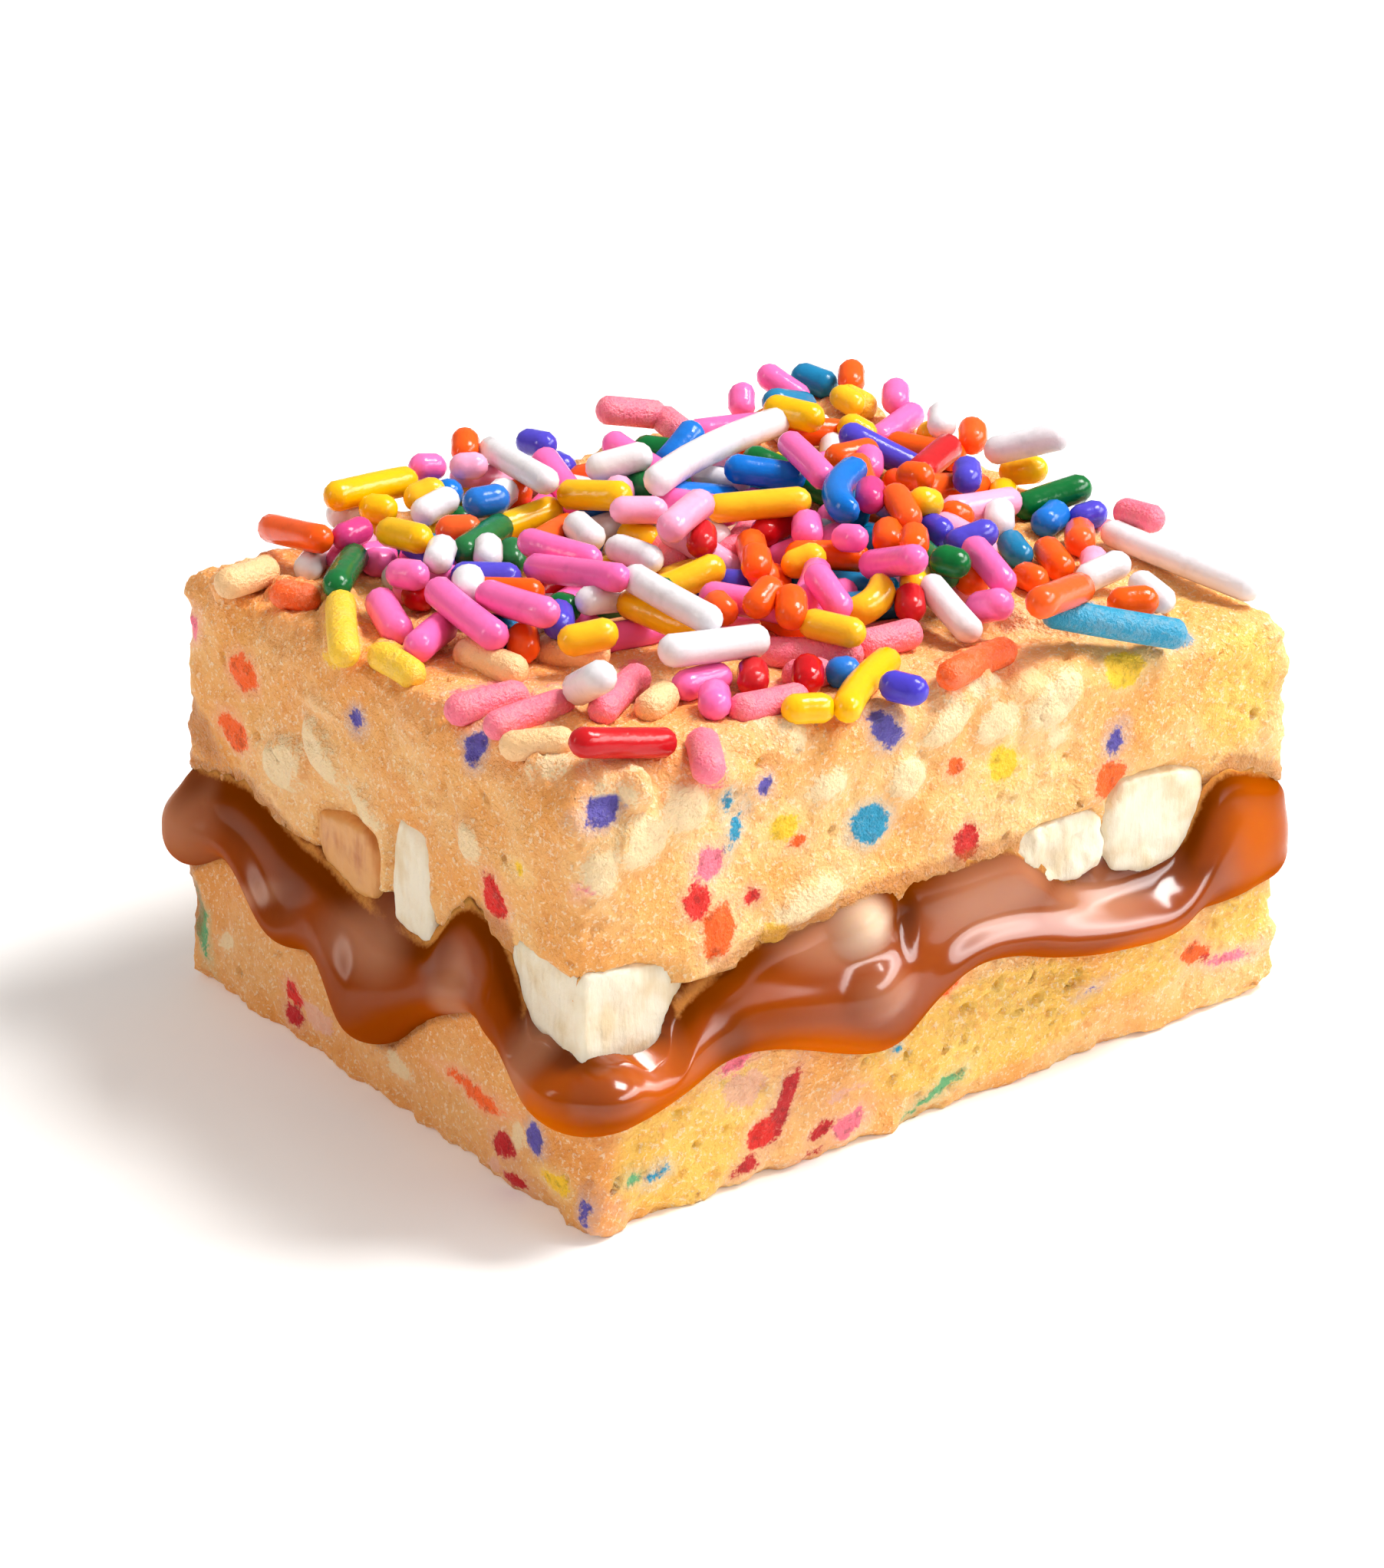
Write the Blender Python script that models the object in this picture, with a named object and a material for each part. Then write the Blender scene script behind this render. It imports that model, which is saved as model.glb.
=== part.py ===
"""A bite-size confetti blondie: two layers of sprinkle dough with a layer of soft caramel between them.

The caramel runs out over the cut sides in drips, white chocolate chunks show at the sides, and sugar
sprinkles lie on top. X runs along the long cut side, Y across, and the bite rests on Z = 0.
Every piece is modelled in a square block first and then moved slightly out of square.
"""

import math
import random

import bmesh
import bpy
import numpy as np
from mathutils import Euler, Matrix, Vector

MM = 0.001

# The square block.
LENGTH = 46.0 * MM
WIDTH = 37.2 * MM
HEIGHT = 24.0 * MM
HALF = (LENGTH / 2, WIDTH / 2)
LOWER_DOUGH_TOP = 9.8 * MM
UPPER_DOUGH_BOTTOM = 12.7 * MM
GAP = 0.3 * MM

# How far each corner of the top stands from the square block, as the knife left it.
CORNER_SHIFT = {
    (-1, -1): Vector((-0.6, 1.0, 1.2)) * MM,
    (1, -1): Vector((-0.7, -0.4, -1.8)) * MM,
    (1, 1): Vector((-0.7, 0.9, 0.9)) * MM,
    (-1, 1): Vector((0.5, -0.4, -0.1)) * MM,
}

# The dough: its cut edges, and the shallow crumbs and hollows of its skin.
LOWER_EDGE = 1.0 * MM
UPPER_EDGE = 2.0 * MM
CELL = 2.8 * MM
CRUMB_SIZE = 4.5 * MM
CRUMB_DEPTH = 0.9 * MM
CRUMB_INWARD = 0.8

# The caramel's edge on each cut side, in millimetres: place along the side, the height of its lower
# and its upper edge, and how far it bulges out. The sides follow each other round the block.
CARAMEL_EDGE = {
    "front": [
        (-21.5, 6.2, 11.0, 1.5),
        (-18.6, 6.9, 11.0, 1.6),
        (-16.8, 7.7, 13.2, 1.5),
        (-14.5, 8.1, 13.7, 1.3),
        (-11.0, 7.3, 14.0, 1.5),
        (-6.0, 5.3, 14.3, 2.0),
        (-2.5, 7.0, 14.4, 1.7),
        (1.0, 8.4, 14.1, 1.2),
        (3.6, 7.9, 14.0, 1.3),
        (6.0, 7.2, 12.0, 1.6),
        (10.0, 6.4, 11.0, 1.9),
        (14.0, 6.0, 11.0, 2.0),
        (17.0, 7.1, 11.6, 1.6),
        (18.8, 6.8, 13.6, 2.2),
        (21.0, 6.8, 13.7, 2.4),
    ],
    "right": [
        (-16.5, 8.2, 13.3, 1.6),
        (-11.5, 6.0, 13.8, 1.9),
        (-6.5, 8.6, 14.2, 1.2),
        (-1.0, 4.4, 14.0, 2.1),
        (3.0, 7.6, 12.4, 1.4),
        (6.5, 6.8, 11.0, 1.7),
        (10.0, 6.9, 11.6, 1.7),
        (13.5, 8.8, 14.4, 1.2),
        (16.8, 7.0, 13.6, 1.8),
    ],
    "back": [
        (20.0, 8.3, 14.0, 1.3),
        (14.5, 5.2, 13.7, 2.0),
        (9.0, 8.5, 14.2, 1.2),
        (5.0, 7.0, 11.8, 1.5),
        (1.0, 6.6, 11.0, 1.7),
        (-3.0, 8.6, 12.6, 1.3),
        (-8.0, 4.9, 14.2, 2.1),
        (-13.0, 8.2, 13.7, 1.3),
        (-17.5, 6.8, 13.6, 1.8),
        (-21.0, 7.0, 13.4, 2.1),
    ],
    "left": [
        (17.0, 7.6, 14.4, 2.2),
        (14.2, 9.2, 14.8, 1.3),
        (11.5, 8.4, 15.1, 1.3),
        (8.0, 6.2, 15.0, 1.7),
        (5.2, 7.0, 14.2, 1.4),
        (2.6, 4.6, 12.6, 1.8),
        (0.0, 3.4, 11.8, 2.0),
        (-2.6, 4.6, 11.0, 1.8),
        (-5.0, 7.1, 11.4, 1.4),
        (-7.0, 8.0, 14.6, 1.2),
        (-9.5, 9.0, 15.0, 1.0),
        (-12.2, 7.4, 12.8, 1.2),
        (-14.8, 5.8, 11.0, 1.5),
        (-17.2, 5.8, 11.0, 1.6),
    ],
}
CARAMEL_STATIONS = 120
CARAMEL_CORNER = 1.5 * MM
CARAMEL_FILM = 0.3 * MM
# The bulge of the caramel's outer face, from its upper edge down to its lower one: how far down, and
# what share of the full bulge it stands out there.
CARAMEL_BULGE = [(0.0, 0.0), (0.25, 0.22), (0.5, 0.5), (0.72, 0.88), (0.88, 1.0), (0.97, 0.75), (1.0, 0.3)]

# White chocolate chunks, in millimetres: centre, size, turn in degrees, and how round each is.
CHUNKS = {
    "white_chunk_corner": ((-20.3, -15.9, 12.3), (7.2, 7.0, 6.4), 6, 0.25),
    "white_chunk_left": ((-21.2, -3.6, 14.1), (6.0, 4.4, 6.6), 12, 0.55),
    "white_chunk_left_coated": ((-20.9, 2.4, 13.9), (6.0, 5.6, 4.0), -10, 0.45),
    "white_chunk_front_small": ((-5.4, -18.3, 12.4), (3.6, 3.4, 3.4), 15, 0.7),
    "white_chunk_front_round": ((14.0, -16.6, 12.9), (7.0, 6.0, 6.2), 8, 0.7),
    "white_chunk_front_flat": ((6.8, -17.0, 12.8), (5.2, 5.4, 4.6), -8, 0.7),
    "white_chunk_right": ((20.9, 7.6, 12.8), (6.4, 7.4, 5.8), 20, 0.6),
    "white_chunk_back": ((2.2, 16.6, 12.9), (7.8, 6.2, 6.0), -8, 0.5),
}
CHUNK_CUTS = 2
CHUNK_PROUD = 0.5 * MM

# Sprinkles. The landmarks are the longest and the ones that break the outline, in millimetres and
# degrees: place on the top, heading, length, and how high each lies above the dough.
SPRINKLE_RADIUS = 0.85 * MM
SPRINKLE_SINK = 0.5 * MM
SPRINKLE_SIDES = 6
LANDMARK_SPRINKLES = [
    ((6.7, 10.1), 17, 9.4, 2.2),
    ((19.3, -13.4), -85, 9.0, 0.4),
    ((11.8, -17.2), -30, 7.4, -0.5),
    ((-7.5, -4.6), -88, 7.0, 1.4),
    ((-8.6, -9.6), -17, 5.4, 0.8),
    ((9.2, 1.9), 48, 7.0, 1.9),
    ((-9.7, 0.4), -47, 5.4, 1.6),
    ((-17.6, 15.3), -65, 4.8, 0.5),
    ((3.6, -13.4), 72, 6.8, 1.2),
    ((22.4, 2.9), -4, 5.0, 0.7),
    ((-18.6, -15.3), -34, 5.4, 0.1),
    ((-21.0, -7.6), -6, 4.6, 0.0),
    ((-5.1, -16.4), 31, 6.6, 0.5),
    ((18.4, 17.4), -60, 5.0, 0.9),
    ((4.6, 3.4), -21, 5.4, 1.3),
    ((-10.8, 17.2), -2, 6.0, 0.5),
    ((-22.0, 1.0), 55, 5.0, -0.4),
    ((19.5, -3.6), 2, 5.6, 0.8),
    ((-2.7, 15.2), -80, 6.6, 1.0),
]
# The rest lie at random in two layers: the spacing of the layer, how high it lies, how long its
# sprinkles are, and the share of the sprinkled field that it covers from the middle out.
SPRINKLE_LAYERS = [(4.0 * MM, 0.0, (3.2, 5.8), 1.0), (6.0 * MM, 1.2 * MM, (3.2, 5.6), 0.72)]
SPRINKLE_FIELD = ((-19.0, 20.5), (-13.0, 16.5))
SPRINKLE_TILT = 7.0
SEED = 24

DOUGH = ("dough", (0.80, 0.52, 0.24), 0.6)
CARAMEL = ("caramel", (0.42, 0.15, 0.03), 0.15)
WHITE_CHOCOLATE = ("white_chocolate", (0.88, 0.82, 0.66), 0.5)


def clear_scene():
    for old in list(bpy.data.objects):
        bpy.data.objects.remove(old)


def new_collection(name):
    made = bpy.data.collections.new(name)
    bpy.context.scene.collection.children.link(made)
    return made


def material(name, colour, roughness):
    made = bpy.data.materials.get(name) or bpy.data.materials.new(name)
    made.use_nodes = True
    shader = made.node_tree.nodes["Principled BSDF"]
    shader.inputs["Base Color"].default_value = (*colour, 1.0)
    shader.inputs["Roughness"].default_value = roughness
    shader.inputs["Metallic"].default_value = 0.0
    return made


def out_of_square(point):
    """Where a point of the square block lies in the real bite."""
    shift = Vector()
    for (side_x, side_y), corner in CORNER_SHIFT.items():
        share = (1 + side_x * point.x / HALF[0]) * (1 + side_y * point.y / HALF[1]) / 4
        shift += corner * share
    lean = point.z / HEIGHT
    rise = max(0.0, (point.z - UPPER_DOUGH_BOTTOM) / (HEIGHT - UPPER_DOUGH_BOTTOM))
    return point + Vector((shift.x * lean, shift.y * lean, shift.z * rise))


def add_object(name, bm, finish, collection):
    """Moves a finished mesh out of square and adds it as an object."""
    for vertex in bm.verts:
        vertex.co = out_of_square(vertex.co)
    mesh = bpy.data.meshes.new(name)
    bm.to_mesh(mesh)
    bm.free()
    made = bpy.data.objects.new(name, mesh)
    mesh.materials.append(material(*finish))
    collection.objects.link(made)
    return made


def apply_modifiers(thing):
    """Replaces an object's mesh by what its modifiers make of it."""
    graph = bpy.context.evaluated_depsgraph_get()
    graph.update()
    mesh = bpy.data.meshes.new_from_object(thing.evaluated_get(graph))
    thing.modifiers.clear()
    thing.data = mesh


# Dough layers


def grid_lines(half, edge):
    """Places of the cuts across one side: one at each rounded edge, the others evenly between."""
    inner = half - edge
    steps = round(2 * inner / CELL)
    return [inner * (2 * step / steps - 1) for step in range(steps + 1)]


def gridded_box(low, high, edge):
    """A box over the whole block from one height to another, its faces cut into cells."""
    bm = bmesh.new()
    bmesh.ops.create_cube(bm, size=1)
    bmesh.ops.scale(bm, vec=(LENGTH, WIDTH, high - low), verts=bm.verts)
    bmesh.ops.translate(bm, vec=(0, 0, (low + high) / 2), verts=bm.verts)
    levels = [(low + high) / 2 + place for place in grid_lines((high - low) / 2, edge)]
    for axis, places in enumerate((grid_lines(HALF[0], edge), grid_lines(HALF[1], edge), levels)):
        normal = Vector([float(axis == other) for other in range(3)])
        for place in places:
            geometry = bm.verts[:] + bm.edges[:] + bm.faces[:]
            bmesh.ops.bisect_plane(bm, geom=geometry, plane_co=normal * place, plane_no=normal)
    return bm


def round_edges(bm, edge, top):
    """Draws the upright edges in to a rounding, and with them the upper ones where top is their height."""
    for vertex in bm.verts:
        x, y, z = vertex.co
        inner = Vector((
            max(edge - HALF[0], min(HALF[0] - edge, x)),
            max(edge - HALF[1], min(HALF[1] - edge, y)),
            min(z, top - edge),
        ))
        out = vertex.co - inner
        if out.length > edge:
            vertex.co = inner + out.normalized() * edge


def cut_away(bm, place, normal):
    """Cuts off all that lies beyond a plane, and closes the cut."""
    geometry = bm.verts[:] + bm.edges[:] + bm.faces[:]
    cut = bmesh.ops.bisect_plane(bm, geom=geometry, plane_co=place, plane_no=normal, clear_outer=True)
    loop = [part for part in cut["geom_cut"] if isinstance(part, bmesh.types.BMEdge)]
    if loop:
        bmesh.ops.holes_fill(bm, edges=loop)


def dough_layer(name, low, high, edge, top, collection):
    """One layer of dough with a crumbly skin, cut flat across its bottom."""
    bm = gridded_box(low - CRUMB_DEPTH, high, edge)
    round_edges(bm, edge, top)
    layer = add_object(name, bm, DOUGH, collection)
    crumbs = bpy.data.textures.new(name + "_crumbs", "CLOUDS")
    crumbs.noise_scale = CRUMB_SIZE
    crumbs.noise_depth = 2
    relief = layer.modifiers.new("Crumbs", "DISPLACE")
    relief.texture = crumbs
    relief.texture_coords = "LOCAL"
    relief.strength = CRUMB_DEPTH
    relief.mid_level = CRUMB_INWARD
    apply_modifiers(layer)
    bm = bmesh.new()
    bm.from_mesh(layer.data)
    cut_away(bm, Vector((0, 0, low)), Vector((0, 0, -1)))
    bm.to_mesh(layer.data)
    bm.free()
    return layer


# Caramel


def smooth_rows(rows, wanted, around):
    """Values at the wanted places from a smooth closed curve through rows of (place, value, ...)."""
    rows = np.array(sorted(rows))
    places = np.concatenate([rows[-2:, 0] - around, rows[:, 0], rows[:2, 0] + around])
    values = np.concatenate([rows[-2:, 1:], rows[:, 1:], rows[:2, 1:]])
    slopes = np.gradient(values, places, axis=0)
    step = np.clip(np.searchsorted(places, wanted, side="right") - 1, 0, len(places) - 2)
    width = (places[step + 1] - places[step])[:, None]
    t = (wanted - places[step])[:, None] / width
    start = values[step] * (2 * t**3 - 3 * t**2 + 1) + slopes[step] * width * (t**3 - 2 * t**2 + t)
    end = values[step + 1] * (3 * t**2 - 2 * t**3) + slopes[step + 1] * width * (t**3 - t**2)
    return start + end


def around_the_block(place):
    """The point and the outward direction at a distance round the block, from its front left corner."""
    straight = (LENGTH - 2 * CARAMEL_CORNER, WIDTH - 2 * CARAMEL_CORNER)
    arc = CARAMEL_CORNER * math.pi / 2
    for side in range(4):
        run = straight[side % 2]
        along = Vector((math.cos(side * math.pi / 2), math.sin(side * math.pi / 2), 0))
        outward = Vector((along.y, -along.x, 0))
        middle = outward * HALF[1 - side % 2]
        if place <= run:
            return middle + along * (place - run / 2), outward
        place -= run
        if place <= arc:
            turned = outward.copy()
            turned.rotate(Euler((0, 0, place / CARAMEL_CORNER)))
            centre = middle + along * (run / 2) - outward * CARAMEL_CORNER
            return centre + turned * CARAMEL_CORNER, turned
        place -= arc
    return around_the_block(place)


def caramel_rows():
    """The rows of CARAMEL_EDGE with each place turned into a distance round the block."""
    rows = []
    arc = CARAMEL_CORNER * math.pi / 2
    start = 0.0
    for side, name in enumerate(CARAMEL_EDGE):
        run = (LENGTH, WIDTH)[side % 2] - 2 * CARAMEL_CORNER
        forward = 1 if side < 2 else -1
        for along, *sizes in CARAMEL_EDGE[name]:
            rows.append([start + run / 2 + forward * along * MM, *(size * MM for size in sizes)])
        start += run + arc
    return rows, start


def caramel_section(low, high, bulge):
    """Rows (share of the block, how far out from its cut side, height) round the caramel's rim."""
    slab_low = LOWER_DOUGH_TOP + GAP
    slab_high = UPPER_DOUGH_BOTTOM - GAP
    shoulder = min(high - 0.6 * MM, slab_high)
    upper = [(0.4, 0, slab_high), (0.9, 0, slab_high), (1, GAP, shoulder), (1, GAP, high - 0.2 * MM)]
    face = []
    for down, share in CARAMEL_BULGE:
        out = GAP + CARAMEL_FILM + (bulge - CARAMEL_FILM) * share
        face.append((1, out, high + (low - high) * down))
    lower = [(1, GAP, low + 0.25 * MM), (1, GAP, slab_low), (0.4, 0, slab_low)]
    return upper + face + lower


def caramel_layer(collection):
    """The caramel: a slab between the layers whose rim runs out and down over the cut sides.

    It starts as a sphere, whose rings are laid out from the middle of the slab's top, round the
    rim, to the middle of its underside.
    """
    rows, around = caramel_rows()
    places = np.arange(CARAMEL_STATIONS) * around / CARAMEL_STATIONS
    sizes = smooth_rows(rows, places, around)
    sections = [caramel_section(*size) for size in sizes]
    bm = bmesh.new()
    rings = len(sections[0])
    bmesh.ops.create_uvsphere(bm, u_segments=CARAMEL_STATIONS, v_segments=rings + 1, radius=1)
    for vertex in bm.verts:
        level = math.acos(max(-1.0, min(1.0, vertex.co.z))) / math.pi * (rings + 1)
        ring = round(level) - 1
        if ring in (-1, rings):
            vertex.co = (0, 0, sections[0][0][2] if ring < 0 else sections[0][-1][2])
            continue
        turn = math.atan2(vertex.co.y, vertex.co.x) / (2 * math.pi)
        station = round(turn * CARAMEL_STATIONS) % CARAMEL_STATIONS
        point, outward = around_the_block(places[station])
        share, out, height = sections[station][ring]
        vertex.co = point * share + outward * out
        vertex.co.z = height
    return add_object("caramel", bm, CARAMEL, collection)


# White chocolate


def chunk_mesh(name, grown):
    """A rounded lump of chocolate, made larger all round by the length grown."""
    centre, size, turn, roundness = CHUNKS[name]
    bm = bmesh.new()
    bmesh.ops.create_cube(bm, size=1)
    bmesh.ops.subdivide_edges(bm, edges=bm.edges, cuts=CHUNK_CUTS, use_grid_fill=True)
    for vertex in bm.verts:
        ball = vertex.co.normalized() * 0.56
        vertex.co = vertex.co.lerp(ball, roundness)
    stretch = Matrix.Diagonal([edge * MM + 2 * grown for edge in size]).to_4x4()
    spin = Euler((math.radians(turn / 2), math.radians(turn), math.radians(turn))).to_matrix().to_4x4()
    bmesh.ops.transform(bm, matrix=Matrix.Translation(Vector(centre) * MM) @ spin @ stretch, verts=bm.verts)
    return bm


def cut_flush(bm):
    """Cuts a lump off just outside the block's four sides, as the knife cut through it."""
    for axis, half in enumerate(HALF):
        for side in (-1, 1):
            normal = Vector((0, 0, 0))
            normal[axis] = side
            cut_away(bm, normal * (half + CHUNK_PROUD), normal)


def cut_pocket(thing, cutter):
    pocket = thing.modifiers.new("Pocket", "BOOLEAN")
    pocket.operation = "DIFFERENCE"
    pocket.object = cutter


# Sprinkles


def sprinkle(place, heading, tilt, length, height, collection):
    """One sprinkle lying on the top: a rod with blunt ends, pulled out from a small sphere."""
    bm = bmesh.new()
    ball = SPRINKLE_RADIUS / math.sin(math.pi / 3)
    bmesh.ops.create_uvsphere(bm, u_segments=SPRINKLE_SIDES, v_segments=3, radius=ball)
    for vertex in bm.verts:
        vertex.co.z += math.copysign(length / 2 - ball, vertex.co.z)
    lying = Euler((0, math.radians(90 + tilt), math.radians(heading))).to_matrix().to_4x4()
    x, y = place
    centre = Matrix.Translation((x, y, HEIGHT + SPRINKLE_RADIUS - SPRINKLE_SINK + height))
    bmesh.ops.transform(bm, matrix=centre @ lying, verts=bm.verts)
    return add_object("sprinkle", bm, DOUGH, collection)


def scattered_sprinkles(draw):
    """Places on a loose grid for every layer, in rows of (place, heading, tilt, length, height)."""
    (left, right), (front, back) = SPRINKLE_FIELD
    for spacing, height, lengths, share in SPRINKLE_LAYERS:
        columns = int((right - left) * MM * share / spacing)
        lines = int((back - front) * MM * share / spacing)
        for column in range(columns + 1):
            for line in range(lines + 1):
                x = (left + right) / 2 * MM + (column - columns / 2) * spacing
                y = (front + back) / 2 * MM + (line - lines / 2) * spacing
                x += draw.uniform(-0.3, 0.3) * spacing
                y += draw.uniform(-0.3, 0.3) * spacing
                tilt = draw.uniform(-SPRINKLE_TILT, SPRINKLE_TILT)
                yield (x, y), draw.uniform(0, 180), tilt, draw.uniform(*lengths) * MM, height


def fuse_sprinkles(layer):
    """Lays the sprinkles on the top layer and joins them to it in one union."""
    heap = new_collection("sprinkles")
    for (x, y), heading, length, height in LANDMARK_SPRINKLES:
        sprinkle((x * MM, y * MM), heading, 0.0, length * MM, height * MM, heap)
    for row in scattered_sprinkles(random.Random(SEED)):
        sprinkle(*row, heap)
    union = layer.modifiers.new("Sprinkles", "BOOLEAN")
    union.operation = "UNION"
    union.operand_type = "COLLECTION"
    union.collection = heap
    union.solver = "MANIFOLD"
    apply_modifiers(layer)
    for rod in list(heap.objects):
        bpy.data.objects.remove(rod)
    bpy.data.collections.remove(heap)


def keep_largest_shell(thing):
    """Drops loose scraps, and the small sealed hollows that the union leaves between sprinkles."""
    bm = bmesh.new()
    bm.from_mesh(thing.data)
    unseen = set(bm.verts)
    shells = []
    while unseen:
        shell = set()
        edge_of_shell = [unseen.pop()]
        while edge_of_shell:
            vertex = edge_of_shell.pop()
            shell.add(vertex)
            for edge in vertex.link_edges:
                other = edge.other_vert(vertex)
                if other in unseen:
                    unseen.remove(other)
                    edge_of_shell.append(other)
        shells.append(shell)
    shells.sort(key=len)
    for shell in shells[:-1]:
        bmesh.ops.delete(bm, geom=list(shell), context="VERTS")
    bm.to_mesh(thing.data)
    bm.free()


def main():
    clear_scene()
    bite = new_collection("confetti_blondie_bite")
    cutters = new_collection("cutters")
    cutters.hide_render = True

    lower = dough_layer("lower_dough", 0.0, LOWER_DOUGH_TOP, LOWER_EDGE, HEIGHT, bite)
    caramel = caramel_layer(bite)
    upper = dough_layer("upper_dough", UPPER_DOUGH_BOTTOM, HEIGHT, UPPER_EDGE, HEIGHT, bite)
    for name in CHUNKS:
        chunk = chunk_mesh(name, 0.0)
        cut_flush(chunk)
        add_object(name, chunk, WHITE_CHOCOLATE, bite)
        cutter = add_object(name + "_pocket", chunk_mesh(name, GAP), WHITE_CHOCOLATE, cutters)
        cutter.hide_render = True
        cutter.display_type = "WIRE"
        for neighbour in (lower, caramel, upper):
            cut_pocket(neighbour, cutter)
    fuse_sprinkles(upper)
    keep_largest_shell(upper)


main()
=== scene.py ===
# %% [markdown]
# # A confetti blondie bite
#
# This lesson dresses a small cut piece of cake: two layers of pale dough with sugar sprinkles baked
# in, a layer of soft caramel that runs out over the cut sides, white chocolate chunks, and a heap of
# sugar sprinkles on top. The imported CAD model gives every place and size, so it is loaded first and
# is never changed. Each food layer is then modelled again, finer, over its own solid.

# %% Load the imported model
import math
import random

import bpy
import numpy as np
from mathutils import Matrix, Vector


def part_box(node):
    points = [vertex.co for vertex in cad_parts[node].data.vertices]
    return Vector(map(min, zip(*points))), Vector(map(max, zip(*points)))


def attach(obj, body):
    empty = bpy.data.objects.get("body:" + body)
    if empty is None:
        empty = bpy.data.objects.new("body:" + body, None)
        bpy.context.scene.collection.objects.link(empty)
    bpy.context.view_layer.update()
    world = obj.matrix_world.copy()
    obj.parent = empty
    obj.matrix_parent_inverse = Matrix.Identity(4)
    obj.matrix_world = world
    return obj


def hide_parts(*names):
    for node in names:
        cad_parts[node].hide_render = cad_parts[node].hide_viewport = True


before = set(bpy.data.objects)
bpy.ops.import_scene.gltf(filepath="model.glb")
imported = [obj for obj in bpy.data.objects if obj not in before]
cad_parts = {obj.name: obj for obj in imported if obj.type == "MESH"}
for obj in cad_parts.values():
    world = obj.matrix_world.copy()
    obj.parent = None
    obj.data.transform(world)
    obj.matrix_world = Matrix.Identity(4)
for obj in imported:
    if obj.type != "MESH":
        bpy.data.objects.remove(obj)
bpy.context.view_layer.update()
MM = 0.001
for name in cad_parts:
    low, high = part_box(name)
    print(name, [round(edge / MM, 1) for edge in high - low], "mm")

# %% [markdown]
# ## The camera
#
# The picture was taken with a long lens from a little above, turned towards the corner where the two
# cut sides meet. A long lens keeps the upright edges nearly parallel. The camera looks slightly past
# the middle of the bite, because the bite stands right of the middle of the picture.

# %% Set up the camera
PHOTO_SIZE = (1804, 2044)
LENS = 104.75
SENSOR = 36.0
CAMERA_DISTANCE = 247.8 * MM
CAMERA_ELEVATION = math.radians(24.41)
CAMERA_TURN = math.radians(-38.01)
LOOK_AT = Vector((0, 0, 12.0)) * MM
LOOK_LEFT = 2.15 * MM
LOOK_DOWN = 0.09 * MM
NEAREST_SEEN = 0.01

to_camera = Vector((
    math.sin(CAMERA_TURN) * math.cos(CAMERA_ELEVATION),
    -math.cos(CAMERA_TURN) * math.cos(CAMERA_ELEVATION),
    math.sin(CAMERA_ELEVATION),
))
picture_right = Vector((math.cos(CAMERA_TURN), math.sin(CAMERA_TURN), 0))
picture_up = to_camera.cross(picture_right)

camera = bpy.data.objects.new("camera", bpy.data.cameras.new("camera"))
bpy.context.scene.collection.objects.link(camera)
camera.data.lens = LENS
camera.data.sensor_width = SENSOR
camera.data.clip_start = NEAREST_SEEN
camera.location = LOOK_AT + to_camera * CAMERA_DISTANCE
aim = LOOK_AT - picture_right * LOOK_LEFT - picture_up * LOOK_DOWN - camera.location
camera.rotation_mode = "QUATERNION"
camera.rotation_quaternion = aim.to_track_quat("-Z", "Y")
bpy.context.scene.camera = camera
print("camera at", [round(edge / MM, 1) for edge in camera.location], "mm")


def ray(across, down):
    """The direction from the camera through a pixel of the photograph."""
    size = SENSOR / PHOTO_SIZE[1] / LENS
    turned = Vector(((across - PHOTO_SIZE[0] / 2) * size, (PHOTO_SIZE[1] / 2 - down) * size, -1))
    return camera.rotation_quaternion @ turned


# %% [markdown]
# ## Floor and light
#
# The bite stands on a white sweep under soft studio light. One soft lamp from the right makes the
# right-hand side bright and throws a pale shadow to the left, and a bright white world fills the
# rest. Long strips, like windows, draw the highlights along the caramel: two at the front right and
# a dim one at the left. The gloss strip is left out of the diffuse light, so that only glossy
# surfaces show it.

# %% Make the floor and the lamps
FLOOR_SIZE = 6.0
SKY_LIGHT = 0.52
HORIZON_LIGHT = 0.22
SKY_TINT = (1.0, 0.975, 0.945, 1.0)
LAMPS = {
    # name: (place in mm, width and height in mm, watts, colour)
    "key": ((205, -110, 390), (150, 150), 2.2, (1.0, 0.985, 0.96)),
    "window_strip": ((230, -250, 260), (520, 55), 0.62, (1.0, 1.0, 1.0)),
    "gloss_strip": ((240, -260, 205), (520, 110), 1.7, (1.0, 1.0, 1.0)),
    "left_strip": ((-320, 110, 150), (40, 150), 0.22, (1.0, 0.9, 0.8)),
}

bpy.ops.object.select_all(action="DESELECT")
bpy.ops.mesh.primitive_plane_add(size=FLOOR_SIZE, location=(0, 0, 0))
floor = bpy.context.object
floor.name = "floor"

world = bpy.data.worlds.new("white_studio")
bpy.context.scene.world = world
world.use_nodes = True
background = world.node_tree.nodes["Background"]
background.inputs["Color"].default_value = SKY_TINT
directions = world.node_tree.nodes.new("ShaderNodeTexCoord")
parts = world.node_tree.nodes.new("ShaderNodeSeparateXYZ")
brighten = world.node_tree.nodes.new("ShaderNodeMapRange")
brighten.inputs["To Min"].default_value = HORIZON_LIGHT
brighten.inputs["To Max"].default_value = SKY_LIGHT
world.node_tree.links.new(directions.outputs["Generated"], parts.inputs[0])
world.node_tree.links.new(parts.outputs["Z"], brighten.inputs["Value"])
world.node_tree.links.new(brighten.outputs[0], background.inputs["Strength"])

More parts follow.
